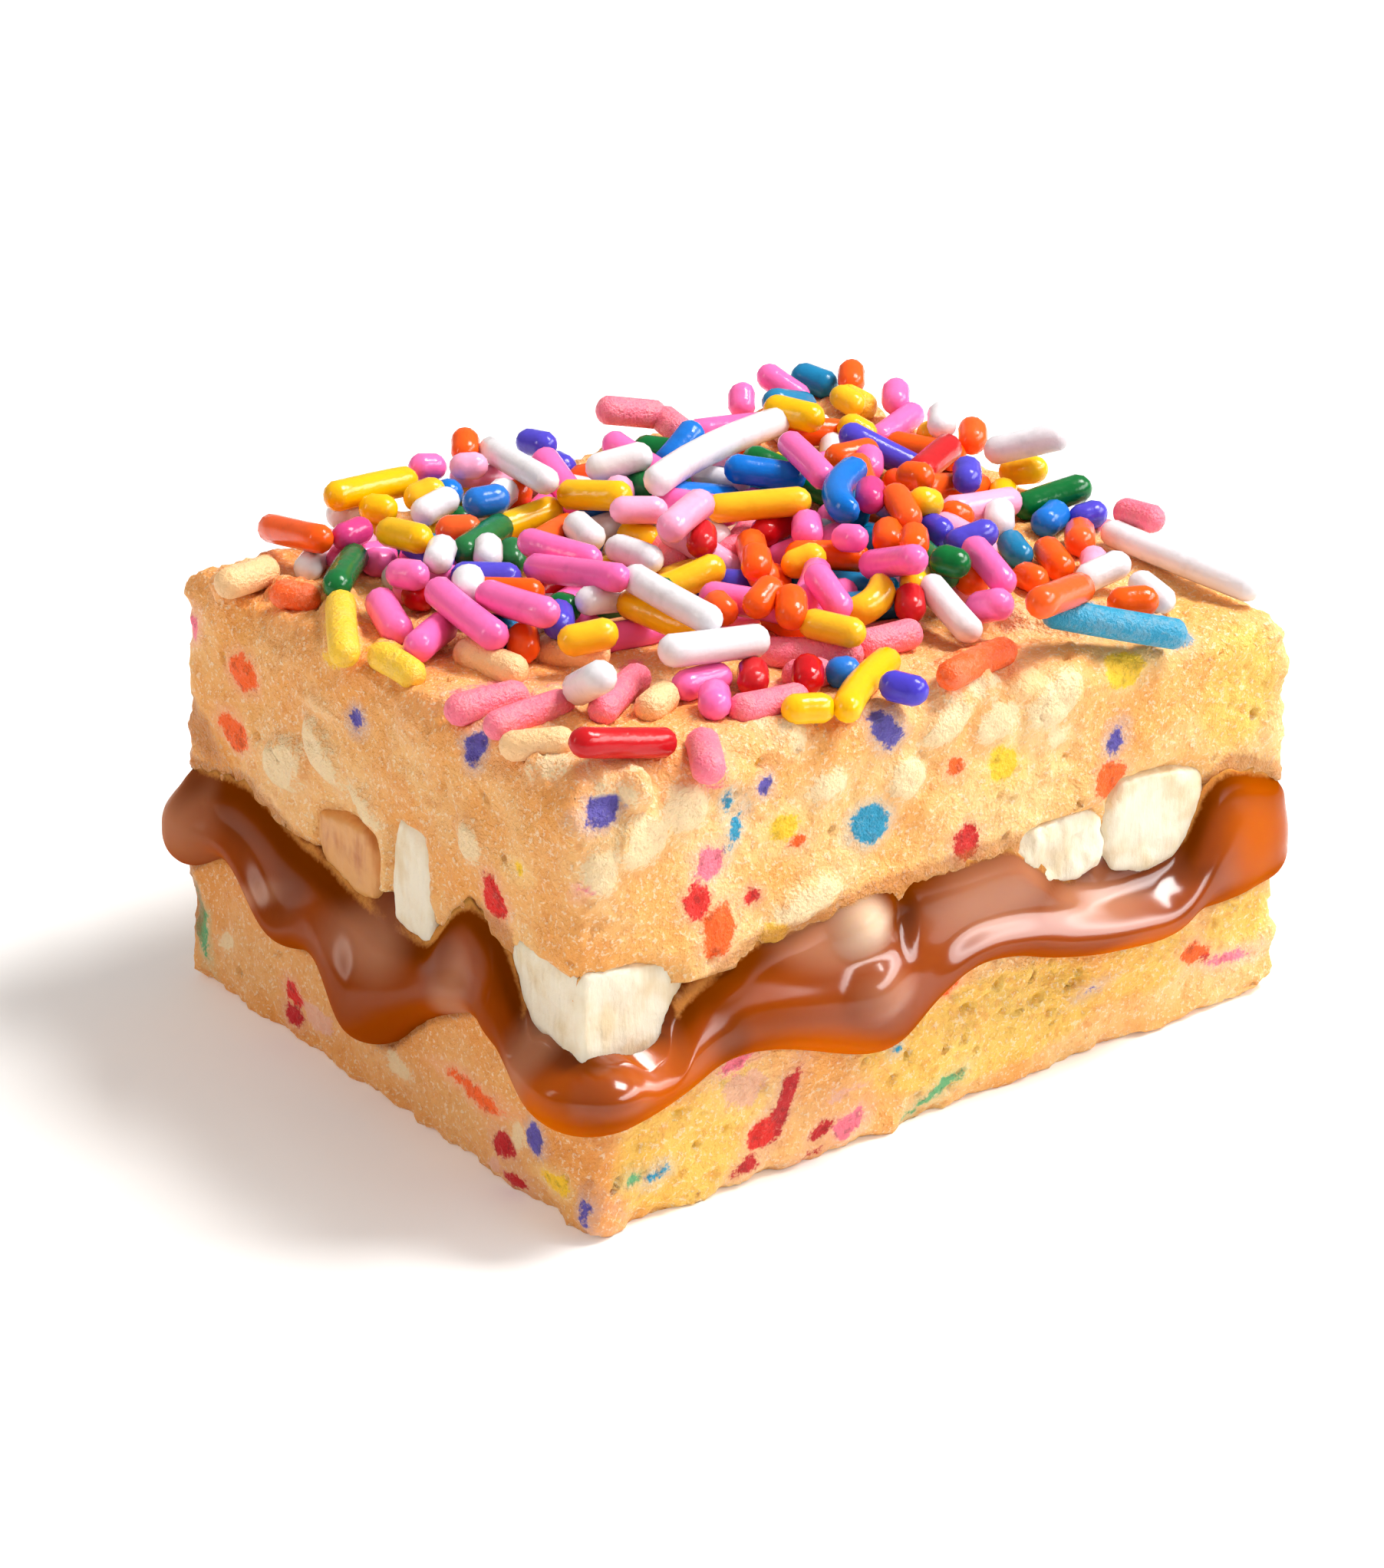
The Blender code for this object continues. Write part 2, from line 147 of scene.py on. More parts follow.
for name, (place, size, watts, colour) in LAMPS.items():
    lamp = bpy.data.lights.new(name, "AREA")
    lamp.shape = "RECTANGLE"
    lamp.size, lamp.size_y = (edge * MM for edge in size)
    lamp.energy = watts
    lamp.color = colour
    held = bpy.data.objects.new(name, lamp)
    bpy.context.scene.collection.objects.link(held)
    held.location = Vector(place) * MM
    held.rotation_euler = (LOOK_AT - held.location).to_track_quat("-Z", "Y").to_euler()
    held.visible_diffuse = name != "gloss_strip"

bpy.context.scene.view_settings.view_transform = "Standard"
print(len(LAMPS), "lamps")

# %% [markdown]
# ## Writing materials as sums
#
# A food material is mostly sums on noise, and sums are easier to read as Python than as a web of
# nodes. So a small class holds one socket, and each plus, minus or times on it adds a Math node. Any
# other node comes from its one method, which takes the node's type, its settings and its inputs.


# %% A socket that can be reckoned with
class Wire:
    """A socket of a material's node tree, on which + - * add Math nodes."""

    def __init__(self, tree, socket=None):
        self.tree = tree
        self.socket = socket

    def node(self, kind, settings=None, inputs=None, output=0):
        """Adds a node, sets its settings, fills its inputs, and returns one of its outputs."""
        made = self.tree.nodes.new(kind)
        for name, value in (settings or {}).items():
            setattr(made, name, value)
        for name, value in (inputs or {}).items():
            if isinstance(value, Wire):
                self.tree.links.new(value.socket, made.inputs[name])
            else:
                made.inputs[name].default_value = value
        return Wire(self.tree, made.outputs[output] if len(made.outputs) else None)

    def math(self, operation, first, second):
        return self.node("ShaderNodeMath", {"operation": operation}, {0: first, 1: second})

    def __add__(self, other):
        return self.math("ADD", self, other)

    __radd__ = __add__

    def __mul__(self, other):
        return self.math("MULTIPLY", self, other)

    __rmul__ = __mul__

    def __sub__(self, other):
        return self.math("SUBTRACT", self, other)

    def __rsub__(self, other):
        return self.math("SUBTRACT", other, self)

    def at_least(self, other):
        return self.math("MAXIMUM", self, other)


# %% Short words for the nodes that every food needs
# A Mix node has a set of sockets for each type of value; these are its two colours and their result.
RESULT = 2
FIRST, SECOND = 6, 7


def linear(colour):
    """A colour as a picture shows it, 0 to 255, turned into the light values that Blender mixes."""
    shares = [part / 255 for part in colour]
    return (*(part / 12.92 if part <= 0.04045 else ((part + 0.055) / 1.055) ** 2.4 for part in shares), 1.0)


def new_material(name):
    """An empty material, and a wire to build from."""
    made = bpy.data.materials.new(name)
    made.use_nodes = True
    made.node_tree.nodes.clear()
    return made, Wire(made.node_tree)


def place_on(paint):
    return paint.node("ShaderNodeTexCoord", output="Object")


def grain(paint, size, detail=2.0, roughness=0.5):
    """Noise whose lumps are about one size across, from 0 to 1."""
    inputs = {"Vector": place_on(paint), "Scale": 1 / size, "Detail": detail, "Roughness": roughness}
    return paint.node("ShaderNodeTexNoise", {"normalize": True}, inputs)


def attribute(paint, name, output="Fac"):
    return paint.node("ShaderNodeAttribute", {"attribute_name": name}, output=output)


def step(paint, value, low, high):
    """0 below low, 1 above high, and a smooth change between."""
    return paint.node(
        "ShaderNodeMapRange",
        {"interpolation_type": "SMOOTHSTEP"},
        {"Value": value, "From Min": low, "From Max": high, "To Min": 0.0, "To Max": 1.0},
    )


def mix(paint, share, first, second, blend="MIX"):
    settings = {"data_type": "RGBA", "blend_type": blend}
    return paint.node("ShaderNodeMix", settings, {0: share, FIRST: first, SECOND: second}, RESULT)


def bump(paint, height, depth, strength=1.0):
    return paint.node("ShaderNodeBump", {}, {"Height": height, "Distance": depth, "Strength": strength})


def finish(paint, inputs):
    """Ends a material in one Principled shader."""
    shader = paint.node("ShaderNodeBsdfPrincipled", {}, inputs)
    paint.node("ShaderNodeOutputMaterial", {}, {"Surface": shader})


# %% Paint the floor
FLOOR_WHITE = (250, 250, 250)
FLOOR_GLOW = 0.12
floor_material, paint = new_material("white_sweep")
finish(paint, {"Base Color": linear(FLOOR_WHITE), "Roughness": 0.9, "Specular IOR Level": 0.1,
               "Emission Color": (1.0, 1.0, 1.0, 1.0), "Emission Strength": FLOOR_GLOW})
floor.data.materials.append(floor_material)

# %% [markdown]
# ## The block, and how the knife left it
#
# The bite was cut by hand, so it isn't quite square: every corner of its top is shifted a little. All
# layers are made in a square block and moved by the same rule, so they still meet. The rule spreads
# each corner's shift over the block, strongest at that corner.

# %% Sizes of the block
LENGTH = 46.5 * MM
WIDTH = 37.8 * MM
HEIGHT = 24.0 * MM
HALF = (LENGTH / 2, WIDTH / 2)
LOWER_DOUGH_TOP = 9.8 * MM
UPPER_DOUGH_BOTTOM = 12.7 * MM
# How far each corner of the top lies from its square place, along x, y and z (mm).
CORNER_SHIFT = {
    (-1, -1): (-0.6, 1.0, 1.2),
    (1, -1): (-0.7, -0.4, -1.8),
    (1, 1): (-0.7, 0.9, 0.9),
    (-1, 1): (0.5, -0.4, -0.1),
}


def out_of_square(points):
    """Where points of the square block, in rows of x, y, z, lie in the real bite."""
    points = np.asarray(points, float)
    x, y, z = points[..., 0], points[..., 1], points[..., 2]
    shift = np.zeros_like(points)
    for (side_x, side_y), corner in CORNER_SHIFT.items():
        share = (1 + side_x * x / HALF[0]) * (1 + side_y * y / HALF[1]) / 4
        shift += share[..., None] * np.array(corner) * MM
    lean = z / HEIGHT
    rise = np.clip((z - UPPER_DOUGH_BOTTOM) / (HEIGHT - UPPER_DOUGH_BOTTOM), 0, None)
    return points + shift * np.stack([lean, lean, rise], -1)


# The planes on which the near sides were measured in the photograph, as it looks squared up to them.
MEASURED = {"front": (1, -18.6 * MM), "left": (0, -23.0 * MM)}


def wall_point(side, along, height):
    """A point on a cut side, in millimetres along it and up it."""
    x, y = {"front": (along, -HALF[1] / MM), "back": (along, HALF[1] / MM),
            "left": (-HALF[0] / MM, along), "right": (HALF[0] / MM, along)}[side]
    on_wall = out_of_square(np.array([x, y, height]) * MM)
    if side not in MEASURED:
        return on_wall
    axis, plane = MEASURED[side]
    measured = np.array([x, y, height]) * MM
    measured[axis] = plane
    way = measured - np.array(camera.location)
    return measured + way * (on_wall[axis] - plane) / way[axis]


GUESSES = 4


def into_square(point):
    """The place in the square block that out_of_square moves to a point, by better and better guesses."""
    found = np.array(point)
    for _ in range(GUESSES):
        found = found - (out_of_square(found) - point)
    return found


# %% Small helpers for meshes
def points_of(thing, what="co"):
    """The places of a mesh's points, or their normals, as rows of x, y, z."""
    found = np.empty(len(thing.data.vertices) * 3)
    thing.data.vertices.foreach_get(what, found)
    return found.reshape(-1, 3)


def move_points(thing, points):
    thing.data.vertices.foreach_set("co", np.ascontiguousarray(points).ravel())
    thing.data.update()


def only(thing):
    """Makes one object the only selected one, because operators act on all that is selected."""
    bpy.ops.object.select_all(action="DESELECT")
    thing.select_set(True)
    bpy.context.view_layer.objects.active = thing


def modify(thing, kind, **settings):
    """Adds a modifier, sets it and applies it."""
    modifier = thing.modifiers.new(kind, kind)
    for name, value in settings.items():
        setattr(modifier, name, value)
    only(thing)
    bpy.ops.object.modifier_apply(modifier=modifier.name)


def remesh(thing, voxel):
    """Rebuilds a closed mesh from small cubes of one size, which also fuses what overlaps."""
    modify(thing, "REMESH", mode="VOXEL", voxel_size=voxel)


def relax(thing, times):
    """Smooths a mesh: each point moves halfway to the middle of its neighbours, some times over."""
    modify(thing, "SMOOTH", iterations=times)


WEIGHT_LEVELS = 20


def weigh(thing, name, weights):
    """Stores one weight for each point as a vertex group, in a few levels."""
    group = thing.vertex_groups.new(name=name)
    levels = np.round(np.clip(weights, 0, 1) * WEIGHT_LEVELS).astype(int)
    for level in range(1, WEIGHT_LEVELS + 1):
        chosen = np.flatnonzero(levels == level)
        if len(chosen):
            group.add(chosen.tolist(), level / WEIGHT_LEVELS, "REPLACE")


def relief(thing, size, depth, middle=0.5, group="", detail=2, stops=None):
    """Pushes the skin in and out by cloud noise; stops turn the noise into separate pits."""
    clouds = bpy.data.textures.new("clouds", "CLOUDS")
    clouds.noise_scale = size * MM
    clouds.noise_depth = detail
    if stops:
        clouds.use_color_ramp = True
        for element, (place, level) in zip(clouds.color_ramp.elements, stops):
            element.position = place
            element.color = (level, level, level, 1)
    modify(thing, "DISPLACE", texture=clouds, texture_coords="LOCAL", strength=depth * MM,
           mid_level=middle, vertex_group=group)


def store(thing, name, values):
    """Keeps a value or a colour for each point, for the material to read."""
    if values.ndim == 1:
        layer = thing.data.attributes.new(name, "FLOAT", "POINT")
        layer.data.foreach_set("value", values.astype(np.float32))
    else:
        layer = thing.data.attributes.new(name, "FLOAT_COLOR", "POINT")
        layer.data.foreach_set("color", values.astype(np.float32).ravel())


def smoothly(values, low, high):
    """0 below low, 1 above high, and a smooth change between, for arrays."""
    t = np.clip((values - low) / (high - low), 0, 1)
    return t * t * (3 - 2 * t)


def shade_smooth(thing):
    thing.data.polygons.foreach_set("use_smooth", np.ones(len(thing.data.polygons), bool))
    thing.data.update()


# %% [markdown]
# ## Colours of the sprinkles
#
# Sugar strands come in a few strong colours. In the dough the same strands have baked: their colour
# has run a little and gone paler, and some are glazed over with dough.

# %% Name the colours
COLOURS = {
    "pink": (255, 112, 184),
    "rose": (255, 172, 206),
    "magenta": (214, 50, 130),
    "white": (236, 232, 236),
    "orange": (252, 92, 0),
    "yellow": (255, 192, 0),
    "blue": (0, 116, 212),
    "violet": (74, 62, 200),
    "red": (200, 0, 14),
    "teal": (0, 126, 176),
    "green": (0, 110, 48),
    "baked_pink": (255, 122, 146),
    "baked_red": (226, 22, 26),
    "baked_orange": (255, 98, 22),
    "baked_yellow": (255, 202, 44),
    "baked_teal": (0, 148, 188),
    "baked_violet": (88, 80, 172),
    "baked_green": (96, 176, 120),
    "salmon": (255, 204, 146),
    "cream": (246, 222, 178),
    "crimson": (196, 0, 30),
    "blush": (240, 182, 160),
}

# %% [markdown]
# ## Dough
#
# Blondie dough is soft and dense. Its cut sides show a fine sandy grain, a few pits where the crumb
# is open and yellow, pale chips, and the cut ends of baked-in sprinkles. A layer starts as a cube
# with rounded edges, is rebuilt from small voxels so that it has points to push, and gets its lumps
# and pits from Displace modifiers. Voxels also fuse the baked-in sprinkles with the dough.
#
# What has a colour but no height, such as a cut sprinkle, is a spot. A spot is stored at each point
# as its colour and as how deep the point lies inside it. The material then draws a crisp, slightly
# ragged edge where that depth passes zero, finer than the mesh is.

# %% Spots that the photograph shows on the two near sides
# For each side and colour, rows of: along the side, up the side, half width, half height (mm), and
# turn (degrees).
SPOTS_SEEN = {
    "front": {
        "baked_pink": [
            (-16, 18.8, 1, 1, 20), (-14.2, 7.3, 1.4, 0.6, 8), (-6.9, 1.3, 1.2, 0.7, 20),
            (19.7, 2.9, 1.7, 0.45, -8),
        ],
        "baked_red": [(-16.8, 17, 0.9, 1, 0), (-13.3, 16.2, 0.5, 0.4, 0), (-12.5, 2.6, 1.2, 0.9, 30)],
        "baked_orange": [
            (-15.5, 15, 1.1, 1.6, -10), (-0.3, 19.8, 0.6, 0.6, 0), (10.5, 16, 1.2, 1.1, 30),
            (-10.4, 18.4, 0.5, 0.4, 0), (-0.5, 7.3, 0.9, 0.7, 25), (17.2, 3.8, 1.2, 0.6, -15),
        ],
        "baked_teal": [
            (-5.8, 18, 1.3, 1.1, 10), (-14.3, 20.2, 0.4, 1.1, -25), (-14.9, 21.9, 0.4, 0.6, 0),
            (-19.3, 2.5, 0.7, 0.4, 15), (-3.8, 4.6, 0.3, 0.3, 0),
        ],
        "red": [(0.6, 15.2, 1, 1.1, 30), (-7.2, 1.1, 0.5, 0.4, 20), (17.8, 3.4, 0.7, 0.4, -10)],
        "baked_yellow": [(3, 19, 1, 1, 0), (11.3, 22, 1.4, 1.1, 10), (-11.2, 19.3, 0.9, 0.8, 20)],
        "baked_violet": [
            (10.8, 18.2, 0.5, 0.8, -20), (-12.5, 22, 0.5, 0.5, 0), (-22.3, 23.4, 1.2, 0.8, 15),
            (-4.8, 22.9, 0.8, 1.2, 35), (9.8, 3.9, 0.5, 0.2, 10),
        ],
        "baked_green": [(-20.5, 2.7, 0.5, 0.3, -10), (-0.7, 1.3, 1.5, 0.5, 25), (-2.6, 0.3, 0.5, 0.3, 0)],
        "blush": [(-13.8, 5.6, 1.6, 1, 0), (-7.4, 3.2, 1.8, 0.3, 5)],
        "crimson": [
            (-11.3, 3.6, 2.3, 0.7, 58), (-13.4, 1.1, 1, 0.6, 15), (-8.6, 1.6, 0.8, 0.5, 20),
            (-9.4, 0.3, 1, 0.3, 10),
        ],
    },
    "left": {
        "baked_orange": [
            (13.5, 16.4, 1.5, 0.9, -15), (12.3, 20.3, 1.4, 1.1, 10), (-8.8, 4.2, 2.6, 0.6, 0),
        ],
        "baked_red": [(-10.7, 16, 1, 1.3, 15), (8.6, 2.9, 0.9, 0.9, 15)],
        "baked_yellow": [(-12.8, 18.3, 0.6, 0.4, 0), (-15.4, 2, 1.2, 0.6, 0)],
        "baked_pink": [(-17.6, 18.6, 0.6, 0.5, 0), (17.3, 21.3, 1, 0.7, 60)],
        "baked_violet": [
            (-8.7, 23.4, 0.7, 1, 0), (1.5, 21.3, 0.6, 0.6, 0), (-13.7, 3.7, 0.9, 0.9, 0),
            (-17.8, 1.2, 0.4, 0.8, 0),
        ],
        "crimson": [(8.8, 1.4, 1, 0.7, 15), (-10.9, 2.2, 1, 0.8, 0), (-11.8, 0.5, 1, 0.6, 10)],
        "blush": [(6.4, 2.2, 1.6, 0.8, 0), (-10.2, 0.7, 0.8, 0.5, 10)],
        "red": [(-8, 4.2, 1.2, 0.4, 0)],
        "cream": [(-12, 3.2, 0.6, 0.8, 0), (-1.5, 2.6, 1.2, 0.6, -20), (15, 3.4, 0.9, 0.6, 20)],
        "baked_green": [(17.8, 3.6, 0.6, 2, 20)],
    },
}
# Chips and lumps of pale chocolate: the same numbers, the colour, and how far each stands out (mm).
LUMPS_SEEN = {
    "front": [
        (-10, 15, 2.4, 1.1, 15, "cream", 0.45), (-11.9, 13.9, 0.9, 0.8, 0, "baked_yellow", 0.3),
        (-3.5, 20, 1.3, 1.2, 20, "cream", 0.35), (-0.8, 22.3, 2, 1, 25, "cream", 0.35),
        (2.4, 21.4, 1.6, 1.1, 10, "cream", 0.3), (6.2, 21.6, 2.1, 1.3, 30, "cream", 0.45),
        (4.6, 23, 1.4, 0.8, 10, "salmon", 0.3), (-20.3, 21.4, 1.9, 1.6, 20, "cream", 0.5),
        (-17.6, 22.3, 1.6, 1.4, -20, "cream", 0.4), (-22.6, 20.2, 1, 1.4, 0, "cream", 0.35),
        (6.6, 19.4, 0.9, 0.6, 0, "cream", 0.2), (-8.5, 20.9, 1.4, 0.8, 10, "cream", 0.25),
    ],
    "left": [
        (8, 16.6, 2.4, 1.6, 25, "cream", 0.6), (4.5, 18.5, 2.4, 1.2, -35, "cream", 0.5),
        (-8.8, 18.3, 1.1, 1.2, 0, "cream", 0.3), (1, 16.6, 1.6, 0.8, -30, "cream", 0.3),
        (10.5, 13.8, 1.6, 0.6, 0, "salmon", 0.3), (5, 20.9, 1.5, 0.5, 0, "salmon", 0.25),
    ],
}
# Where the crumb is open and yellow: side, along, up, half width, half height (mm), how strongly.
OPEN_CRUMB = [
    ("front", -18, 3, 5, 3.6, 0.8), ("front", -15, 5.5, 3.5, 2.2, 0.6), ("front", 2.5, 4, 9.5, 3.2, 1),
    ("front", 13, 4.5, 5, 2.6, 0.6), ("front", 20.5, 4.8, 3, 2.2, 0.7),
    ("front", 19.5, 19, 3.4, 4.5, 0.6), ("front", 3, 18.6, 2.2, 1.6, 0.4),
    ("front", -11, 19.2, 2, 1.5, 0.4), ("right", -10, 18, 8, 5, 0.8), ("right", 6, 4, 12, 3.4, 0.9),
    ("back", 12, 4, 9, 3.4, 0.9), ("back", -8, 18, 8, 4, 0.6), ("left", -16.5, 2.5, 2, 2.5, 0.4),
]

# %% Lay the spots out in space
SPOT_DEPTH = 1.3
SIDE_WAYS = {"front": (1, 0, 0), "back": (-1, 0, 0), "left": (0, -1, 0), "right": (0, 1, 0)}
UP = np.array([0.0, 0.0, 1.0])


def spot(side, along, up, half_width, half_height, turn=0, colour="cream", proud=0.0):
    """One spot: its middle, its two directions, their half sizes, its colour and its rise."""
    across = np.array(SIDE_WAYS[side], float)
    angle = math.radians(turn)
    first = across * math.cos(angle) + UP * math.sin(angle)
    second = UP * math.cos(angle) - across * math.sin(angle)
    return {"middle": wall_point(side, along, up), "first": first, "second": second,
            "sizes": (half_width * MM, half_height * MM), "colour": colour, "proud": proud * MM}


def reach_in(points, found, depth=SPOT_DEPTH):
    """How far out in a spot each point lies: 0 at its middle, 1 at its edge. The depth is in mm."""
    away = points - found["middle"]
    wide, high = found["sizes"]
    third = np.cross(found["first"], found["second"])
    return np.sqrt((away @ found["first"] / wide) ** 2 + (away @ found["second"] / high) ** 2
                   + (away @ third / (depth * MM)) ** 2)


def inside_spot(points, found):
    """How far inside a spot each point lies, in metres; below zero outside it."""
    return (1 - reach_in(points, found)) * min(found["sizes"])


spots = [spot(side, *row, colour) for side, colours in SPOTS_SEEN.items()
         for colour, rows in colours.items() for row in rows]
lumps = [spot(side, *row) for side, rows in LUMPS_SEEN.items() for row in rows]
print(len(spots), "spots and", len(lumps), "lumps on the two near sides")

# %% [markdown]
# The two far sides and the underside hold the same kinds of baked-in sprinkles. Nobody knows where,
# so they are drawn at random, with a fixed seed so that the bite is always the same.

# %% Draw the spots on the sides that the photograph hides
HIDDEN_SEED = 7
HIDDEN_SPOTS = 34
LOW_BAND, HIGH_BAND = (0.8, 6.5), (15.5, 23.0)
SPOT_SIZES = ((0.5, 1.5), (0.4, 1.0))
LUMP_BAND = (16, 22)
LUMP_SIZES = ((1.2, 2.2), (0.8, 1.4))
LUMP_PROUD = 0.4
UNDER_SIZES = ((0.6, 1.6), (0.4, 0.9))
UNDERSIDE = (21, 17)
BAKED = ["baked_pink", "baked_red", "baked_orange", "baked_yellow", "baked_teal", "baked_violet",
         "baked_green", "red", "cream", "magenta"]
draw = random.Random(HIDDEN_SEED)
for side, reach in (("right", WIDTH / 2 / MM - 2), ("back", LENGTH / 2 / MM - 2)):
    for _ in range(HIDDEN_SPOTS):
        up = draw.choice([draw.uniform(*LOW_BAND), draw.uniform(*HIGH_BAND)])
        sizes = [draw.uniform(*sizes) for sizes in SPOT_SIZES]
        spots.append(spot(side, draw.uniform(-reach, reach), up, *sizes, draw.uniform(-60, 60),
                          draw.choice(BAKED)))
    for _ in range(HIDDEN_SPOTS // 4):
        sizes = [draw.uniform(*sizes) for sizes in LUMP_SIZES]
        lumps.append(spot(side, draw.uniform(-reach, reach), draw.uniform(*LUMP_BAND), *sizes,
                          draw.uniform(-40, 40), draw.choice(["cream", "cream", "salmon"]), LUMP_PROUD))
for _ in range(HIDDEN_SPOTS):
    sizes = [draw.uniform(*sizes) for sizes in UNDER_SIZES]
    found = spot("front", 0, 0, *sizes, 0, draw.choice(BAKED))
    angle = draw.uniform(0, math.pi)
    found["first"] = np.array([math.cos(angle), math.sin(angle), 0])
    found["second"] = np.array([-math.sin(angle), math.cos(angle), 0])
    found["middle"] = np.array([*(draw.uniform(-reach, reach) for reach in UNDERSIDE), 0]) * MM
    spots.append(found)
print(len(spots), "spots in all")

# %% [markdown]
# The rim of the top is nearly bare, and there the sprinkles have sunk in and are glazed over with
# dough. They are rods that are joined to the block before the voxels, so that the dough flows round
# them. Each is placed by its two ends in the photograph, set just under the surface of the top. One
# whose rays cross the top past the rim is stepped back over the block.

# %% Place the baked-in rods of the rim
ROD_RADIUS = 0.95 * MM
SWELL_LIFT = -0.6 * MM
CREAM_LIFT = 0.25 * MM
TOP_MIDDLE = 24.075 * MM
TOP_SLOPE = (-0.0232, 0.0211)
# Each row: the pixels of one end and of the other, colour, and how high it lies in the dough (mm).
RODS_SEEN = [
    (600, 925, 668, 908, "baked_pink", 0.1), (650, 945, 728, 918, "baked_pink", 0.15),
    (672, 972, 728, 967, "salmon", 0.1), (786, 925, 828, 885, "baked_pink", 0.5),
    (848, 922, 864, 908, "salmon", 0.4), (925, 975, 932, 1005, "baked_pink", 0.1),
    (970, 925, 1035, 912, "baked_pink", 0.3), (980, 957, 1026, 960, "cream", 0.6),
    (1010, 851, 1105, 853, "baked_pink", 0.5), (1130, 840, 1183, 827, "baked_pink", 0.6),
    (1040, 880, 1066, 878, "baked_pink", 0.3), (612, 853, 668, 874, "salmon", 0.2),
    (714, 850, 775, 852, "salmon", 0.2), (760, 880, 790, 890, "cream", 0.1),
    (952, 722, 982, 688, "baked_pink", 0.9), (865, 715, 880, 735, "baked_pink", 0.7),
    (1240, 880, 1305, 850, "baked_orange", 0.1), (1356, 815, 1402, 826, "cream", 0.3),
    (1318, 812, 1330, 818, "cream", 0.4), (1405, 812, 1555, 838, "baked_teal", 0.5),
    (1250, 915, 1300, 905, "cream", -0.1), (1470, 668, 1500, 676, "baked_pink", 0.3),
    (372, 775, 398, 780, "baked_orange", 0.1), (795, 535, 850, 540, "baked_pink", 0.4),
    (868, 548, 884, 560, "baked_pink", 0.6), (410, 798, 414, 860, "baked_yellow", 0),
    (500, 857, 535, 878, "baked_yellow", 0.1), (300, 760, 345, 745, "salmon", 0),
    (690, 1010, 760, 1030, "cream", -0.2), (800, 1005, 850, 1040, "cream", -0.2),
    (1105, 520, 1125, 530, "baked_yellow", 0.6), (1110, 560, 1125, 570, "baked_yellow", 0.6),
    (720, 560, 770, 600, "cream", 0.2),
]
TINY = 1e-12
OVERHANG = 0.5 * MM


def on_top(across, down, lift):
    """The point over a pixel where the camera's ray crosses the slanting top, raised by a lift."""
    way, eye = ray(across, down), camera.location
    tilt = Vector((-TOP_SLOPE[0], -TOP_SLOPE[1], 1))
    return eye + way * ((TOP_MIDDLE + lift - tilt.dot(eye)) / tilt.dot(way))


def back_over_the_block(ends, overhang):
    """The sideways step that brings both ends of a rod or strand back over the block."""
    step_back = np.zeros(3)
    for axis in (0, 1):
        for end in ends:
            past = abs(end[axis]) - HALF[axis] - overhang
            if past > abs(step_back[axis]):
                step_back[axis] = -math.copysign(past, end[axis])
    return step_back


rods = []
for left, high, right, low, colour, lift in RODS_SEEN:
    raised = SWELL_LIFT + (CREAM_LIFT if colour == "cream" else 0)
    ends = [on_top(*pixel, raised) for pixel in ((left, high), (right, low))]
    step_back = Vector(back_over_the_block(ends, -ROD_RADIUS))
    ends = [end + step_back for end in ends]
    rods.append({"ends": ends, "colour": colour, "pixels": (left, high, right, low), "lift": lift * MM})


def inside_rod(points, rod):
    """How far inside a rod each point lies, in metres; below zero outside it."""
    start, end = (np.array(point) for point in rod["ends"])
    way = end - start
    share = np.clip((points - start) @ way / max(way @ way, TINY), 0, 1)
    return ROD_RADIUS - np.linalg.norm(points - start - share[:, None] * way, axis=1)


# %% Make one rod from a sphere
def rod_mesh(start, end, radius):
    """A rod with round ends between two points: a ball whose halves are drawn apart."""
    bpy.ops.object.select_all(action="DESELECT")
    bpy.ops.mesh.primitive_uv_sphere_add(segments=16, ring_count=9, radius=radius)
    made = bpy.context.object
    way = end - start
    points = points_of(made)
    points[:, 2] += np.where(points[:, 2] > 0, way.length, 0)
    move_points(made, points)
    made.matrix_world = Matrix.Translation(start) @ way.to_track_quat("Z", "Y").to_matrix().to_4x4()
    return made


# %% Build a layer of dough
CRUMB_DEPTH = 0.9
UPRIGHT_EDGE = 0.4 * MM
EDGE_WEAR = 1.3 * MM
CORNER_WEAR = 1.4 * MM
CORNER_REACH = 9.0 * MM
BOTTOM_WEAR = 0.8 * MM
ROUGH_VOXEL = 0.5 * MM
FINE_VOXEL = 0.255 * MM


def wear_top_edge(points):
    """Rounds the upper edges of the square block, most of all at its front left corner."""
    corner = np.hypot(points[:, 0] + HALF[0], points[:, 1] + HALF[1])
    radius = EDGE_WEAR + CORNER_WEAR * np.exp(-((corner / CORNER_REACH) ** 2))
    beside = HALF - np.abs(points[:, :2])
    axis = np.argmin(beside, axis=1)
    rows = np.arange(len(points))
    aside = radius - beside[rows, axis]
    above = radius - (HEIGHT - points[:, 2])
    reach = np.hypot(aside, above)
    worn = (aside > 0) & (above > 0) & (reach > radius)
    pull = np.where(worn, 1 - radius / np.maximum(reach, TINY), 0)
    moved = points.copy()
    moved[rows, axis] -= np.sign(points[rows, axis]) * aside * pull
    moved[:, 2] -= above * pull
    return moved


def wear_bottom_edge(points):
    """Draws the lowest stretch of the walls in, so that the bite meets the floor in a shadow."""
    radius = BOTTOM_WEAR
    below = np.clip(radius - points[:, 2], 0, radius)
    drawn = radius - np.sqrt(radius**2 - below**2)
    moved = points.copy()
    for axis in (0, 1):
        beside = HALF[axis] - np.abs(points[:, axis])
        moved[:, axis] -= np.sign(points[:, axis]) * drawn * (beside < radius)
    return moved


